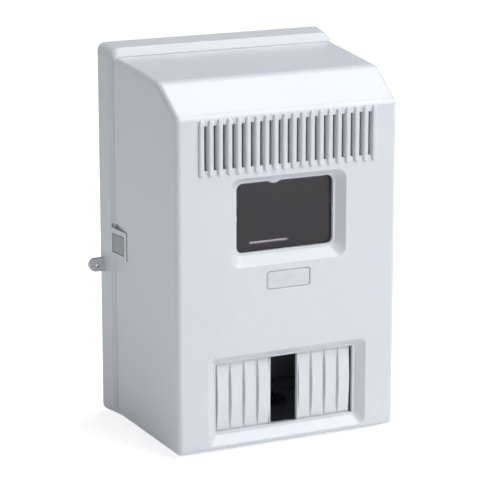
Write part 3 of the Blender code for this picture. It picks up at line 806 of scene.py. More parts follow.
@dataclass(frozen=True)
class ClearPane:
    """Clear plastic with faint smears.

    Args:
        name: The material's name.
        tint: Colour of the light that it lets through.
    """

    name: str
    tint: Colour

    def build(self, effects: Effects) -> bpy.types.Material:
        """Makes the material.

        Args:
            effects: The shared node groups.

        Returns:
            The material.
        """
        builder = MaterialBuilder(self.name)
        grain = builder.effect(effects.grain, Grain_Scale=400.0, Mottle_Scale=30.0)
        deeper = tuple(channel * 0.97 for channel in self.tint)
        builder.feed(builder.blend(grain.outputs["Mottle"], self.tint, deeper), "Base Color")
        builder.feed(builder.spread(grain.outputs["Mottle"], 0.015, 0.05), "Roughness")
        builder.fix(Transmission_Weight=1.0, IOR=1.42)
        return builder.material


class Finishes:
    """Every finish of the object, built once."""

    def __init__(self) -> None:
        """Builds the materials."""
        effects = Effects()
        self.shell = MouldedPlastic("tray_plastic", (0.66, 0.685, 0.73), 0.34).build(effects)
        self.cover = MouldedPlastic("cover_plastic", (0.68, 0.705, 0.755), 0.30).build(effects)
        self.blank = MouldedPlastic("blank_plastic", (0.74, 0.765, 0.80), 0.33).build(effects)
        self.label = MouldedPlastic("label_plastic", (0.64, 0.665, 0.72), 0.28).build(effects)
        # Painted shade: the latch teeth's dark grey stands for the shade in the arm windows, not
        # the plastic's own tone.
        self.latch_shade = MouldedPlastic("latch_painted_shade", (0.37, 0.385, 0.395), 0.42).build(effects)
        # Painted shade: this dark grey on the pane clamp and the blanking guide stands for the
        # unlit inside of the closed box.
        self.inner = MouldedPlastic(
            "inner_plastic", (0.36, 0.37, 0.39), 0.5, 0.02 * MM, 0.2, 0.2
        ).build(effects)
        self.terminal = MouldedPlastic(
            "terminal_plastic", (0.035, 0.09, 0.30), 0.42, 0.02 * MM, 0.4, 0.2
        ).build(effects)
        self.pane = ClearPane("clear_pane", (0.50, 0.44, 0.48)).build(effects)
        self.rubber = SoftRubber("grommet_rubber", (0.16, 0.16, 0.165)).build(effects)
        self.zinc = PlatedMetal("zinc_steel", (0.62, 0.63, 0.65), (0.48, 0.49, 0.50)).build(effects)
        self.brass = PlatedMetal(
            "terminal_brass", (0.78, 0.56, 0.25), (0.60, 0.41, 0.17), 0.24
        ).build(effects)


def dress(piece: Piece, finish: bpy.types.Material, body: str) -> None:
    """Gives a finished piece its material and its body.

    Args:
        piece: The object.
        finish: Its material.
        body: The body that it moves with.
    """
    piece.data.materials.clear()
    piece.data.materials.append(finish)
    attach(piece, body)
    log.info("%s: %d faces, rides on %s", piece.name, len(piece.data.polygons), body)


# --- Sub-assemblies ---------------------------------------------------------------------
@dataclass
class HoodedCover:
    """The pull-off cover: sloping hood, vents, meter window and breaker window."""

    front_y: float = -111.5 * MM
    rear_y: float = -20.8 * MM
    front_half_width: float = 74.0 * MM
    rear_half_width: float = 75.5 * MM
    bottom: float = -117.5 * MM
    face_top: float = 90.4 * MM
    hood_y: float = -85.0 * MM
    hood_top: float = 107.7 * MM
    roof_rear_top: float = 113.3 * MM
    wall: float = 2.5 * MM
    corner_radius: float = 3.5 * MM
    rear_soft: float = 0.2 * MM
    rib_count: int = 20
    rib_span: float = 115.4 * MM
    rib_width: float = 3.4 * MM
    rib_corner: float = 1.1 * MM
    rib_raise: float = 1.4 * MM
    rib_bottom: float = 54.1 * MM
    rib_top: float = 88.3 * MM
    slot_width: float = 2.9 * MM
    slot_length: float = 26.9 * MM
    slot_draft: float = 0.42 * MM
    lip: float = 2.2 * MM
    lip_flat: float = 1.5 * MM
    meter_bezel: Ring = Ring(38.7 * MM, -3.6 * MM, 50.6 * MM, 6.0 * MM, 0)
    meter_opening: Ring = Ring(32.5 * MM, 3.7 * MM, 46.6 * MM, 4.0 * MM, 0)
    meter_recess: float = 5.0 * MM
    breaker_bezel: Ring = Ring(53.4 * MM, -113.8 * MM, -58.6 * MM, 4.0 * MM, 0)
    breaker_opening: Ring = Ring(46.9 * MM, -106.9 * MM, -63.5 * MM, 0.8 * MM, 0)
    breaker_recess: float = 4.5 * MM
    label_recess: Ring = Ring(14.7 * MM, -19.5 * MM, -8.2 * MM, 2.0 * MM, 0)
    label_depth: float = 1.2 * MM
    groove: Quad = (-38.0 * MM, 5.9 * MM, 2.3 * MM, 1.9 * MM)
    entry_half_width: float = 41.0 * MM
    entry_front_y: float = -61.0 * MM

    def flank(self, y: float) -> float:
        """Half of the cover's width at depth y.

        Args:
            y: The depth.

        Returns:
            The half width there.
        """
        share = (y - self.front_y) / (self.rear_y - self.front_y)
        return self.front_half_width + (self.rear_half_width - self.front_half_width) * share

    def _block(self, name: str, inset: float, rear_y: float, radius: float) -> Piece:
        """The hooded outer shape, or with an inset the space inside it.

        Args:
            name: The object's name.
            inset: How far each face is moved in.
            rear_y: Where it ends at the back.
            radius: Radius of its edges.

        Returns:
            The closed block.
        """
        front_y = self.front_y + inset
        rear_half = self.flank(rear_y) - inset
        front_half = self.flank(front_y) - inset
        block = add_block(
            name,
            (-rear_half, front_y, self.bottom + inset),
            (rear_half, rear_y, self.roof_rear_top + 3 * BEYOND),
        )
        hood = Vector((0, self.face_top - self.hood_top, self.hood_y - self.front_y))
        roof = Vector((0, self.hood_top - self.roof_rear_top, self.rear_y - self.hood_y))
        edge = Vector((0, self.hood_y, self.hood_top))
        with editing(block):
            pick_vertices(block, lambda co: co.y < front_y + TOUCH)
            bpy.ops.transform.resize(
                value=(front_half / rear_half, 1, 1), center_override=(0, front_y, 0)
            )
            for normal in (hood.normalized(), roof.normalized()):
                bpy.ops.mesh.select_all(action="SELECT")
                bpy.ops.mesh.bisect(
                    plane_co=edge - normal * inset, plane_no=normal,
                    use_fill=True, clear_outer=True,
                )
            pick_edges(block, lambda a, b: min(a.y, b.y) < rear_y - NEAR)
            bpy.ops.mesh.bevel(
                offset=radius, segments=6, profile=0.5, affect="EDGES", clamp_overlap=True
            )
            bpy.ops.mesh.select_all(action="SELECT")
            bpy.ops.mesh.normals_make_consistent(inside=False)
        return block

    def _funnel(self, name: str, bezel: Ring, opening: Ring, recess: float) -> Piece:
        """Cutter for a window: rounded at the face, flared, and rounded again at its lip.

        Args:
            name: The object's name.
            bezel: Outline where the flare meets the face.
            opening: Outline of the hole.
            recess: Depth of the hole's edge below the face.

        Returns:
            The cutter.
        """
        face, lip_y = self.front_y, self.front_y + recess
        soft = 0.7 * MM
        flat = opening.grown(self.lip_flat, lip_y)
        rings = [bezel.grown(soft, face - BEYOND), bezel.grown(soft, face)]
        steps = ((0.45, 0.08), (0.12, 0.28), (-0.1, 0.6))
        rings += [bezel.grown(soft * out, face + soft * deep) for out, deep in steps]
        rings += [
            flat.grown(0.2 * MM, lip_y - 0.35 * MM),
            flat.grown(0.05 * MM, lip_y - 0.06 * MM),
            flat.grown(-0.2 * MM, lip_y),
            opening.grown(0.3 * MM, lip_y + NUDGE),
            opening.grown(0.08 * MM, lip_y + 0.1 * MM),
            opening.at(lip_y + 0.4 * MM),
            opening.at(lip_y + 2 * BEYOND),
        ]
        return loft(name, rings)

    def _backing(self, name: str, bezel: Ring, recess: float) -> Piece:
        """Ring of material behind the face that a window is cut from."""
        margin = 1.2 * MM
        rear_y = self.front_y + recess + self.lip
        return add_block(
            name,
            (-bezel.half_width - margin, self.front_y + self.wall / 2, bezel.bottom - margin),
            (bezel.half_width + margin, rear_y, bezel.top + margin),
        )

    def _ribs(self) -> Piece:
        """The row of ribs: bars with round corners and round ends."""
        half = self.rib_width / 2
        first = Ring(half, self.rib_bottom, self.rib_top, half - NUDGE, 0, -self.rib_span / 2)
        root, crown = self.front_y + self.wall / 2, self.front_y - self.rib_raise
        rings = [first.at(root)]
        for turn in (math.radians(angle) for angle in (0, 22.5, 45, 67.5, 90)):
            inwards = self.rib_corner * (1 - math.cos(turn))
            ring = first.grown(-inwards, crown + self.rib_corner * (1 - math.sin(turn)))
            rings.append(replace(ring, radius=half - inwards - NUDGE))
        ribs = loft("tool_ribs", rings)
        repeat(ribs, self.rib_count, (self.rib_span / (self.rib_count - 1), 0, 0))
        return ribs

    def _slots(self) -> Piece:
        """The row of cutters for the slots between the ribs."""
        pitch = self.rib_span / (self.rib_count - 1)
        centre = -self.rib_span / 2 + pitch / 2
        middle = (self.rib_bottom + self.rib_top) / 2
        slots = add_block(
            "tool_slots",
            (centre - self.slot_width / 2, self.front_y - BEYOND, middle - self.slot_length / 2),
            (centre + self.slot_width / 2, self.front_y + BEYOND, middle + self.slot_length / 2),
        )
        # The draft holds over the wall and the rib, and the cutter is longer than both.
        stretch = 2 * BEYOND / (self.wall + self.rib_raise)
        taper = 1 - 2 * self.slot_draft * stretch / self.slot_width
        with editing(slots):
            pick_vertices(slots, lambda co: co.y > self.front_y)
            bpy.ops.transform.resize(value=(taper, 1, 1), center_override=(centre, 0, 0))
            bpy.ops.mesh.select_all(action="SELECT")
            wider = 1 / (1 - (1 - taper) * (BEYOND - self.rib_raise) / (2 * BEYOND))
            bpy.ops.transform.resize(value=(wider, 1, 1), center_override=(centre, 0, 0))
            bpy.ops.mesh.select_all(action="DESELECT")
            pick_edges(slots, lambda a, b: abs(a.y - b.y) > BEYOND)
            bpy.ops.mesh.bevel(offset=0.3 * MM, segments=3, affect="EDGES")
        repeat(slots, self.rib_count - 1, (pitch, 0, 0))
        return slots

    def _tabs(self) -> list[Piece]:
        """Small round tabs that hang into the meter opening and hold its pane."""
        opening = self.meter_opening
        middle = (opening.bottom + opening.top) / 2
        y = self.front_y + self.meter_recess + 0.3 * MM
        run = (0, self.lip - 0.6 * MM, 0)
        tabs = []
        for side, x, z, radius in (
            ("top", -7.3 * MM, opening.top + 5.0 * MM, 6.5 * MM),
            ("bottom", 0.0, opening.bottom - 3.6 * MM, 4.0 * MM),
            ("left", -opening.half_width - 3.6 * MM, middle, 4.0 * MM),
            ("right", opening.half_width + 3.6 * MM, middle, 4.0 * MM),
        ):
            tab = add_rod(f"tool_tab_{side}", radius, (x, y, z), run)
            soften(tab, 0.3 * MM, 2)
            tabs.append(tab)
        return tabs

    def _groove(self, side: int) -> Piece:
        """Cutter for the wedge-shaped groove above a snap arm, deepest at the rear.

        Args:
            side: -1 for left, 1 for right.

        Returns:
            The cutter.
        """
        y_front, low, height, depth = self.groove
        near, far = sorted((side * (self.rear_half_width - depth), side * 2 * self.rear_half_width))
        rear_y = self.rear_y + BEYOND
        groove = add_block(f"tool_groove_{side}", (near, y_front, low), (far, rear_y, low + height))
        with editing(groove):
            pick_vertices(
                groove,
                lambda co: co.y < y_front + TOUCH and side * co.x < 1.5 * self.rear_half_width,
            )
            shift = self.flank(y_front) - (self.rear_half_width - depth)
            bpy.ops.transform.translate(value=(side * shift, 0, 0))
        return groove

    def build(self, finishes: Finishes) -> Piece:
        """Models the cover.

        Args:
            finishes: The materials.

        Returns:
            The finished piece.
        """
        cover = self._block("cover_shell", 0.0, self.rear_y, self.corner_radius)
        inner_radius = self.corner_radius - self.wall
        hollow = self._block("tool_hollow", self.wall, self.rear_y + BEYOND, inner_radius)
        combine(cover, hollow, Combine.CUT)
        with editing(cover):
            pick_edges(cover, lambda a, b: min(a.y, b.y) > self.rear_y - NEAR)
            bpy.ops.mesh.bevel(offset=self.rear_soft, segments=3, affect="EDGES")
        windows = (
            ("meter", self.meter_bezel, self.meter_opening, self.meter_recess),
            ("breaker", self.breaker_bezel, self.breaker_opening, self.breaker_recess),
        )
        for label, bezel, _, recess in windows:
            combine(cover, self._backing(f"tool_backing_{label}", bezel, recess), Combine.JOIN)
        combine(cover, self._ribs(), Combine.JOIN)
        combine(cover, self._slots(), Combine.CUT)
        for label, bezel, opening, recess in windows:
            funnel = self._funnel(f"tool_funnel_{label}", bezel, opening, recess)
            combine(cover, funnel, Combine.CUT)
        for tab in self._tabs():
            combine(cover, tab, Combine.JOIN)
        label_rings = [
            self.label_recess.grown(0.5 * MM, self.front_y - BEYOND),
            self.label_recess.grown(0.5 * MM, self.front_y),
            self.label_recess.grown(0.2 * MM, self.front_y + 0.1 * MM),
            self.label_recess.at(self.front_y + 0.4 * MM),
            self.label_recess.at(self.front_y + self.label_depth),
        ]
        combine(cover, loft("tool_label_recess", label_rings), Combine.CUT)
        for side in (-1, 1):
            combine(cover, self._groove(side), Combine.CUT)
        notch = add_block(
            "tool_entry_notch",
            (-self.entry_half_width, self.entry_front_y, self.bottom - BEYOND),
            (self.entry_half_width, self.rear_y + BEYOND, self.bottom + self.wall + 0.5 * MM),
        )
        combine(cover, notch, Combine.CUT)
        smooth(cover)
        dress(cover, finishes.cover, "cover")
        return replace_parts(cover, "cover")


@dataclass
class LatchTeeth:
    """The teeth on the cover's flanks that the snap arms' openings close round, in a dark grey that
    paints the shade of the pocket they sit in.
    """

    front: float = -34.45 * MM
    rear: float = -19.3 * MM
    low: float = -9.3 * MM
    high: float = 2.0 * MM
    root: Span = (74.6 * MM, 75.8 * MM)  # half width at the front and rear
    face: Span = (76.3 * MM, 76.95 * MM)

    def build(self, finishes: Finishes) -> list[Piece]:
        """Models both teeth.

        Args:
            finishes: The materials.

        Returns:
            The finished pieces.
        """
        teeth = []
        for side, label in ((-1, "left"), (1, "right")):
            near, far = sorted((side * self.root[0], side * self.face[1]))
            tooth = add_block(
                f"latch_tooth_{label}", (near, self.front, self.low), (far, self.rear, self.high)
            )
            with editing(tooth):
                for is_face, y, move in (
                    (True, self.front, self.face[0] - self.face[1]),
                    (False, self.rear, self.root[1] - self.root[0]),
                ):
                    pick_vertices(tooth, lambda co: abs(co.y - y) < TOUCH and (
                        (abs(co.x) > self.face[0]) == is_face
                    ))
                    bpy.ops.transform.translate(value=(side * move, 0, 0))
            soften(tooth, 0.3 * MM, 3)
            smooth(tooth)
            # The dark grey finish paints the shade that falls on the teeth in their pocket.
            dress(tooth, finishes.latch_shade, "cover")
            teeth.append(tooth)
        return teeth


@dataclass
class LabelPlate:
    """The blank label plate in its recess, with a raised border line."""

    recess: Ring = HoodedCover.label_recess
    front_y: float = HoodedCover.front_y
    recess_depth: float = HoodedCover.label_depth
    gap: float = 0.3 * MM

    def build(self, finishes: Finishes) -> Piece:
        """Models the plate.

        Args:
            finishes: The materials.

        Returns:
            The finished piece.
        """
        floor_y = self.front_y + self.recess_depth - self.gap
        # How far each ring is drawn in, and how far it lies behind the face.
        border = (
            (0.3, 0.5), (0.5, 0.28), (0.8, 0.2), (1.3, 0.2 + NUDGE / MM), (1.5, 0.35), (1.8, 0.4)
        )
        rings = [self.recess.grown(-0.3 * MM, floor_y)]
        rings += [
            self.recess.grown(-inset * MM, self.front_y + depth * MM) for inset, depth in border
        ]
        plate = loft("label_plate", rings)
        smooth(plate, 50)
        dress(plate, finishes.label, "cover")
        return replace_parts(plate, "name_plate")


@dataclass
class MeterWindow:
    """The clear pane behind the meter opening and the frame that clamps it."""

    opening: Ring = HoodedCover.meter_opening
    margin: float = 3.2 * MM
    frame_width: float = 1.6 * MM

    def build(self, finishes: Finishes) -> list[Piece]:
        """Models the pane and its frame.

        Args:
            finishes: The materials.

        Returns:
            The finished pieces.
        """
        low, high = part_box("window_pane")
        outline = self.opening.grown(self.margin, low.y)
        outline = replace(outline, radius=self.opening.radius)
        pane = loft("meter_pane", [
            outline.grown(-0.3 * MM, low.y),
            outline.at(low.y + 0.3 * MM),
            outline.at(high.y - 0.3 * MM),
            outline.grown(-0.3 * MM, high.y),
        ])
        smooth(pane, 60)
        dress(pane, finishes.pane, "cover")
        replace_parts(pane, "window_pane")
        low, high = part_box("pane_frame")
        wide = outline.grown(self.frame_width, low.y)
        frame = loft("pane_clamp", [wide, wide.at(high.y)])
        hole = self.opening.grown(1.0 * MM, low.y - BEYOND)
        combine(frame, loft("tool_clamp_hole", [hole, hole.at(high.y + BEYOND)]), Combine.CUT)
        soften(frame, 0.3 * MM, 2, 60)
        smooth(frame)
        # The clamp's dark grey is painted shade of the box's inside.
        dress(frame, finishes.inner, "cover")
        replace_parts(frame, "pane_frame")
        return [pane, frame]


@dataclass
class BlankingRow:
    """Two sliding blanking plates of four pads each, and the frame that guides them."""

    pad_pitch: float = 9.25 * MM
    pad_width: float = 7.4 * MM
    pads: int = 4
    pad_raise: float = 2.2 * MM
    pad_edge: float = 0.25 * MM  # how far a pad stands out at its ends
    end_rib: float = 0.8 * MM
    rebate: float = 2.9 * MM
    guide_lip: float = 1.6 * MM
    opening: Ring = HoodedCover.breaker_opening
    rows: int = 16

    def _pad_row(self, name: str, left_x: float, sheet_y: float, root_y: float) -> Piece:
        """A row of pads whose fronts bulge most at mid-height.

        Args:
            name: The object's name.
            left_x: Left end of the plate.
            sheet_y: Front of the plate's sheet.
            root_y: How deep the pads reach into the sheet.

        Returns:
            The row in one mesh.
        """
        bottom, top = self.opening.bottom + 0.5 * MM, self.opening.top - 0.5 * MM
        centre_x = left_x + self.pad_pitch / 2
        front_y = sheet_y - self.pad_edge
        pad = add_block(
            name,
            (centre_x - self.pad_width / 2, front_y, bottom),
            (centre_x + self.pad_width / 2, root_y, top),
        )
        with editing(pad):
            pick_edges(pad, lambda a, b: abs(a.z - b.z) > 1 * MM)
            bpy.ops.mesh.subdivide(number_cuts=self.rows - 1)
            for row in range(1, self.rows):
                share = row / self.rows
                level = bottom + (top - bottom) * share
                pick_vertices(
                    pad, lambda co: co.y < front_y + TOUCH and abs(co.z - level) < NEAR
                )
                bulge = (self.pad_raise - self.pad_edge) * (1 - (2 * share - 1) ** 2)
                bpy.ops.transform.translate(value=(0, -bulge, 0))
        soften(pad, 0.35 * MM, 3, 50)
        repeat(pad, self.pads, (self.pad_pitch, 0, 0))
        return pad

    def _plate(
        self, name: str, node: str, gap_side: int, body: str, finishes: Finishes
    ) -> Piece:
        """One plate: sheet, pads, and the thin rib next to the free module.

        Args:
            name: The object's name.
            node: The solid that it stands for.
            gap_side: 1 where the free module is to the right, -1 to the left.
            body: The body that it moves with.
            finishes: The materials.

        Returns:
            The finished piece.
        """
        low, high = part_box(node)
        sheet_y = high.y - 1.5 * MM
        sheet = add_block(name, (low.x, sheet_y + 0.1 * MM, low.z), high)
        soften(sheet, 0.25 * MM, 2)
        pads = self._pad_row(f"tool_pads_{name}", low.x, sheet_y, sheet_y + 0.75 * MM)
        combine(sheet, pads, Combine.JOIN)
        rib_x = low.x if gap_side < 0 else high.x - self.end_rib
        rib = add_block(
            f"tool_rib_{name}",
            (rib_x, sheet_y - self.pad_raise * 0.6, self.opening.bottom + 0.6 * MM),
            (rib_x + self.end_rib, sheet_y + 0.85 * MM, self.opening.top - 0.6 * MM),
        )
        soften(rib, 0.2 * MM, 2)
        combine(sheet, rib, Combine.JOIN)
        smooth(sheet)
        dress(sheet, finishes.blank, body)
        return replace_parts(sheet, node)

    def build(self, finishes: Finishes) -> list[Piece]:
        """Models both plates and the guide frame.

        Args:
            finishes: The materials.

        Returns:
            The finished pieces.
        """
        plates = [
            self._plate("blanks_left", "blanking_plate_left", 1, "blank_left", finishes),
            self._plate("blanks_right", "blanking_plate_right", -1, "blank_right", finishes),
        ]
        low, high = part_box("blank_guide_frame")
        guide = add_block("blanks_guide", low, high)
        rebate, lip_y, opening = self.rebate, high.y - self.guide_lip, self.opening
        combine(guide, add_block(
            "tool_guide_rebate",
            (-opening.half_width - rebate, low.y - BEYOND, opening.bottom - rebate),
            (opening.half_width + rebate, lip_y, opening.top + rebate),
        ), Combine.CUT)
        rim = opening.grown(0.6 * MM, low.y - BEYOND)
        combine(guide, loft("tool_guide_hole", [rim, rim.at(high.y + BEYOND)]), Combine.CUT)
        soften(guide, 0.25 * MM, 2, 60)
        smooth(guide)
        # The guide's dark grey is painted shade of the box's inside.
        dress(guide, finishes.inner, "cover")
        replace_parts(guide, "blank_guide_frame")
        return [*plates, guide]


@dataclass
class WallTray:
    """The tray on the wall: flared rim, skirt, bosses, slots, and sealing ears."""

    back: Ring = Ring(77.7 * MM, -119.5 * MM, 119.8 * MM, 5.0 * MM, 0)
    rim: Ring = Ring(77.1 * MM, -119.0 * MM, 118.2 * MM, 7.5 * MM, -17.1 * MM)
    seat: Ring = Ring(75.5 * MM, -117.5 * MM, 113.3 * MM, 3.5 * MM, -20.72 * MM)
    skirt_depth: float = 7.0 * MM
    skirt_drop: float = 0.6 * MM
    skirt_wall: float = 1.8 * MM
    skirt_inset: float = 2.9 * MM
    shell: float = 2.3 * MM
    wall: float = 2.5 * MM
    ear_reach: float = 9.7 * MM
    ear_half_height: float = 4.2 * MM
    ear_z: float = -21.2 * MM
    ear_y: Span = (-6.1 * MM, -2.5 * MM)
    ear_hole: float = 1.15 * MM
    arm_seat: Triple = (75.6 * MM, -12.7 * MM, 8.2 * MM)
    meter_slot: Quad = (39.8 * MM, -19.5 * MM, 28.6 * MM, 1.8 * MM)
    slot_corner: float = 0.45  # corner radius as a share of the slot's narrow side
    top_slot: Triple = (70.0 * MM, 20.0 * MM, 3.0 * MM)
    wall_hole: Triple = (58.0 * MM, 98.0 * MM, 2.5 * MM)
    bosses: tuple[tuple[float, float], ...] = ((57.5 * MM, -85.1 * MM), (40.48 * MM, -50.0 * MM))
    boss_height: float = 5.0 * MM
    boss_radius: float = 4.5 * MM

    def _shell(self) -> Piece:
        """The tray's skin, from the wall round the rim and skirt to its floor."""
        back, rim, seat = self.back, self.rim, self.seat
        skirt = replace(seat.grown(-self.skirt_inset, seat.y), radius=1.5 * MM)
        skirt_front = replace(
            skirt, top=skirt.top - self.skirt_drop, y=seat.y - self.skirt_depth
        )
        inner_front = replace(skirt_front.grown(-self.skirt_wall, skirt_front.y), radius=1.0 * MM)
        inner = replace(skirt.grown(-self.skirt_wall, seat.y), radius=1.0 * MM)
        rim_inner = replace(rim.grown(-self.shell, rim.y), radius=5.0 * MM)
        floor = replace(back.grown(-self.shell, -self.wall), radius=3.0 * MM)
        tray = loft("wall_tray", [
            back.grown(-0.5 * MM, 0), back.at(-0.5 * MM),
            rim.grown(0.05 * MM, rim.y + 1.2 * MM), rim.grown(-0.1 * MM, rim.y + 0.45 * MM),
            rim.grown(-0.5 * MM, rim.y - 0.05 * MM),
            seat.grown(0.35 * MM, seat.y + 0.35 * MM), seat,
            skirt.at(seat.y - NUDGE), skirt_front, inner_front.at(skirt_front.y + NUDGE),
            inner, rim_inner, floor,
        ])
        return tray

    def _add_ears(self, tray: Piece) -> None:
        """Joins on the round-ended sealing ears, each with a small hole.

        Args:
            tray: The tray.
        """
        front, rear = self.ear_y
        for side in (-1, 1):
            centre_x = side * (self.back.half_width + self.ear_reach - self.ear_half_height)
            root_x = side * (self.back.half_width - 1.0 * MM)
            near, far = sorted((root_x, centre_x))
            strap = add_block(
                f"tool_ear_{side}",
                (near, front, self.ear_z - self.ear_half_height),
                (far, rear, self.ear_z + self.ear_half_height),
            )
            end = add_rod(
                f"tool_ear_end_{side}", self.ear_half_height,
                (centre_x, front, self.ear_z), (0, rear - front, 0), 64,
            )
            combine(strap, end, Combine.JOIN)
            combine(tray, strap, Combine.JOIN)
            combine(tray, add_rod(
                f"tool_ear_hole_{side}", self.ear_hole,
                (centre_x - side * 1.3 * MM, front - BEYOND, self.ear_z - 0.6 * MM),
                (0, 3 * BEYOND, 0), 24,
            ), Combine.CUT)

    def _cut_arm_seats(self, tray: Piece) -> None:
        """Notches in the shoulder that the snap arms pass through."""
        inner_x, low, high = self.arm_seat
        for side in (-1, 1):
            near, far = sorted((side * inner_x, side * (self.back.half_width + BEYOND)))
            combine(tray, add_block(
                f"tool_arm_seat_{side}",
                (near, self.seat.y - BEYOND, low), (far, self.rim.y, high),
            ), Combine.CUT)

    def _add_bosses(self, tray: Piece) -> None:
        """Pillars under the rail brackets and the terminal holder."""
        for x, z in self.bosses:
            for side in (-1, 1):
                place = (side * x, -self.wall / 2, z)
                height = self.boss_height + self.wall / 2
                boss = add_rod(f"tool_boss_{side}", self.boss_radius, place, (0, -height, 0), 40)
                combine(tray, boss, Combine.JOIN)
                combine(tray, add_rod(
                    f"tool_boss_hole_{side}", 2.0 * MM,
                    (side * x, -self.wall, z), (0, -self.boss_height - BEYOND, 0), 24,
                ), Combine.CUT)

    def _cut_back_wall(self, tray: Piece) -> None:
        """Meter slots and wall-fixing holes."""
        centre, slot_z, length, height = self.meter_slot
        top_z, top_length, top_width = self.top_slot
        for x, z, width, tall in (
            (-centre, slot_z, length, height), (centre, slot_z, length, height),
            (0.0, top_z, top_width, top_length),
        ):
            corner = self.slot_corner * min(width, tall)
            slot = Ring(width / 2, z - tall / 2, z + tall / 2, corner, 0, x)
            tool = loft("tool_slot", [slot.at(-self.wall - BEYOND), slot.at(BEYOND)])
            combine(tray, tool, Combine.CUT)
        half_x, half_z, radius = self.wall_hole
        for x in (-half_x, half_x):
            for z in (-half_z, half_z):
                hole = add_rod("tool_wall_hole", radius, (x, -BEYOND, z), (0, 2 * BEYOND, 0), 32)
                combine(tray, hole, Combine.CUT)

    def build(self, finishes: Finishes) -> Piece:
        """Models the tray.

        Args:
            finishes: The materials.

        Returns:
            The finished piece.
        """
        tray = self._shell()
        self._add_ears(tray)
        self._cut_arm_seats(tray)
        self._add_bosses(tray)
        self._cut_back_wall(tray)
        smooth(tray)
        dress(tray, finishes.shell, "base")
        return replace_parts(tray, "base_box")


@dataclass
class SnapArms:
    """The two springy frames that reach forward from the rim and hook over the cover."""

    window: Quad = (-34.9 * MM, -18.9 * MM, -9.7 * MM, 2.4 * MM)
    lean_out: float = 1.0 * MM  # how far the outer face leans in at the front
    lean_in: float = 0.6 * MM  # the same for the inner face

    def build(self, finishes: Finishes) -> list[Piece]:
        """Models both arms.

        Args:
            finishes: The materials.

        Returns:
            The finished pieces.
        """
        arms = []
        front, rear, low_z, high_z = self.window
        for side, label in ((-1, "left"), (1, "right")):
            node = f"snap_arm_{label}"
            low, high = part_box(node)
            outer = side * max(abs(low.x), abs(high.x))
            arm = add_block(f"arm_{label}", low, high)
            combine(arm, add_block(
                f"tool_arm_window_{label}",
                (low.x - BEYOND, front, low_z), (high.x + BEYOND, rear, high_z),
            ), Combine.CUT)
            with editing(arm):
                for depth in sorted({round(vertex.co.y, 6) for vertex in arm.data.vertices}):
                    share = (high.y - depth) / (high.y - low.y)
                    for is_outer, lean in ((True, self.lean_out), (False, self.lean_in)):
                        pick_vertices(arm, lambda co: abs(co.y - depth) < 2 * TOUCH and (
                            (abs(co.x - outer) < NEAR) == is_outer
                        ))
                        bpy.ops.transform.translate(value=(-side * lean * share, 0, 0))
            soften(arm, 0.3 * MM, 3, 50)
            smooth(arm)
            dress(arm, finishes.shell, f"arm_{label}")
            arms.append(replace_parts(arm, node))
        return arms


@dataclass
class Fittings:
    """The metal, rubber and terminal parts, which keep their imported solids."""

    zinc: tuple[str, ...] = (
        "din_rail", "rail_bracket_left", "rail_bracket_right", "bracket_screw_left",
        "bracket_screw_right", "rail_screw_left", "rail_screw_right",
    )
    terminals: int = 4
    brass: tuple[str, ...] = ("neutral_bar", "earth_bar")

    def build(self, nodes: dict[str, Piece], finishes: Finishes) -> None:
        """Gives each solid its finish.

        Args:
            nodes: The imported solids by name.
            finishes: The materials.
        """
        screws = [
            f"{bar}_screw_{index}"
            for bar in ("neutral", "earth") for index in range(1, self.terminals + 1)
        ]
        finish_of = {name: finishes.zinc for name in (*self.zinc, *screws)}
        finish_of |= {name: finishes.brass for name in self.brass}
        finish_of["terminal_holder"] = finishes.terminal
        finish_of["cable_entry_plate"] = finishes.cover
        finish_of |= {name: finishes.rubber for name in ("grommet_left", "grommet_right")}
        for name, finish in finish_of.items():
            node = nodes[name]
            node.data.materials.clear()
            node.data.materials.append(finish)
            log.info("%s keeps its solid", name)


# --- Studio -----------------------------------------------------------------------------
@dataclass(frozen=True)
class Softbox:
    """A large square lamp.

    Args:
        name: The lamp's name.
        place: Where it stands.
        power: In watts.
        size: Its side.
    """

    name: str
    place: Triple
    power: float
    size: float = 1.2

    def build(self, aim: Vector) -> None:
        """Makes the lamp and turns it to a point.

        Args:
            aim: The point.
        """
        lamp = bpy.data.lights.new(self.name, "AREA")
        lamp.size = self.size
        lamp.energy = self.power
        holder = bpy.data.objects.new(self.name, lamp)
        bpy.context.scene.collection.objects.link(holder)
        holder.location = self.place
        holder.rotation_euler = (aim - Vector(self.place)).to_track_quat("-Z", "Y").to_euler()


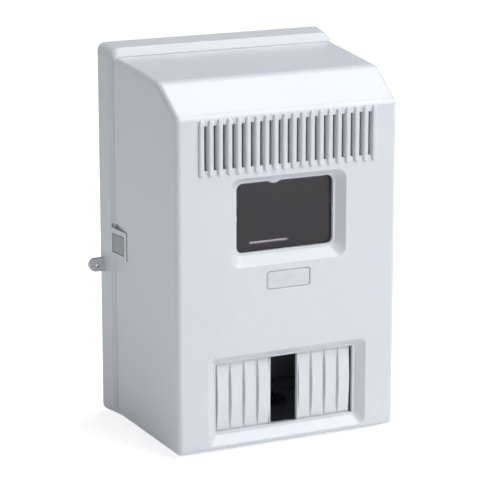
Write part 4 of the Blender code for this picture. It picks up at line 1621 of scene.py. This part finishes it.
@dataclass
class Studio:
    """Plain pale floor, soft lamps and the camera."""

    floor_size: float = 40.0
    floor_z: float = -119.9 * MM
    floor_colour: Colour = (0.93, 0.93, 0.935)
    floor_glow: Span = (0.08, 0.7)  # for the object, and for the camera
    lamps: list[Softbox] = field(default_factory=lambda: [
        Softbox("key_lamp", (1.095, -1.424, 1.270), 33.0),
        Softbox("hood_lamp", (0.446, -0.781, 2.008), 11.5),
        Softbox("top_lamp", (0.659, 0.220, 2.087), 19.5),
        Softbox("left_lamp", (-2.163, 0.334, 0.223), 7.0),
        Softbox("front_left_lamp", (-1.619, -1.403, 0.540), 3.5),
        Softbox("rear_lamp", (-1.312, 1.640, 0.656), 5.5),
    ])
    camera_place: Triple = (-0.5999, -1.3083, 0.3461)
    camera_tilt: float = 75.66
    camera_turn: float = -25.62
    lens: float = 164.66

    def _floor(self) -> None:
        """A wide pale floor."""
        deselect_everything()
        bpy.ops.mesh.primitive_plane_add(size=self.floor_size, location=(0, 0, self.floor_z))
        floor = settled("studio_floor")
        builder = MaterialBuilder("studio_floor")
        builder.shader.inputs["Base Color"].default_value = (*self.floor_colour, 1.0)
        builder.shader.inputs["Emission Color"].default_value = (1.0, 1.0, 1.0, 1.0)
        builder.fix(Roughness=0.9)
        path = builder.tree.nodes.new("ShaderNodeLightPath")
        low, high = self.floor_glow
        builder.feed(builder.spread(path.outputs["Is Camera Ray"], low, high), "Emission Strength")
        floor.data.materials.append(builder.material)

    def build(self) -> None:
        """Sets the floor, the lamps, the sky and the camera."""
        self._floor()
        for lamp in self.lamps:
            lamp.build(Vector((0, 0, 0)))
        world = bpy.data.worlds.new("studio_sky")
        world.use_nodes = True
        world.node_tree.nodes["Background"].inputs["Strength"].default_value = 0.0
        scene = bpy.context.scene
        scene.world = world
        scene.view_settings.view_transform = "Standard"
        lens = bpy.data.cameras.new("studio_camera")
        lens.lens = self.lens
        camera = bpy.data.objects.new("studio_camera", lens)
        scene.collection.objects.link(camera)
        camera.location = self.camera_place
        camera.rotation_euler = (
            math.radians(self.camera_tilt), 0, math.radians(self.camera_turn)
        )
        scene.camera = camera


def main() -> None:
    """Builds the object and its studio."""
    logging.basicConfig(level=logging.INFO, format="%(name)s: %(message)s")
    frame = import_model()
    finishes = Finishes()
    WallTray().build(finishes)
    SnapArms().build(finishes)
    HoodedCover().build(finishes)
    LatchTeeth().build(finishes)
    LabelPlate().build(finishes)
    MeterWindow().build(finishes)
    BlankingRow().build(finishes)
    Fittings().build(frame["nodes"], finishes)
    Studio().build()


if __name__ == "__main__":
    main()
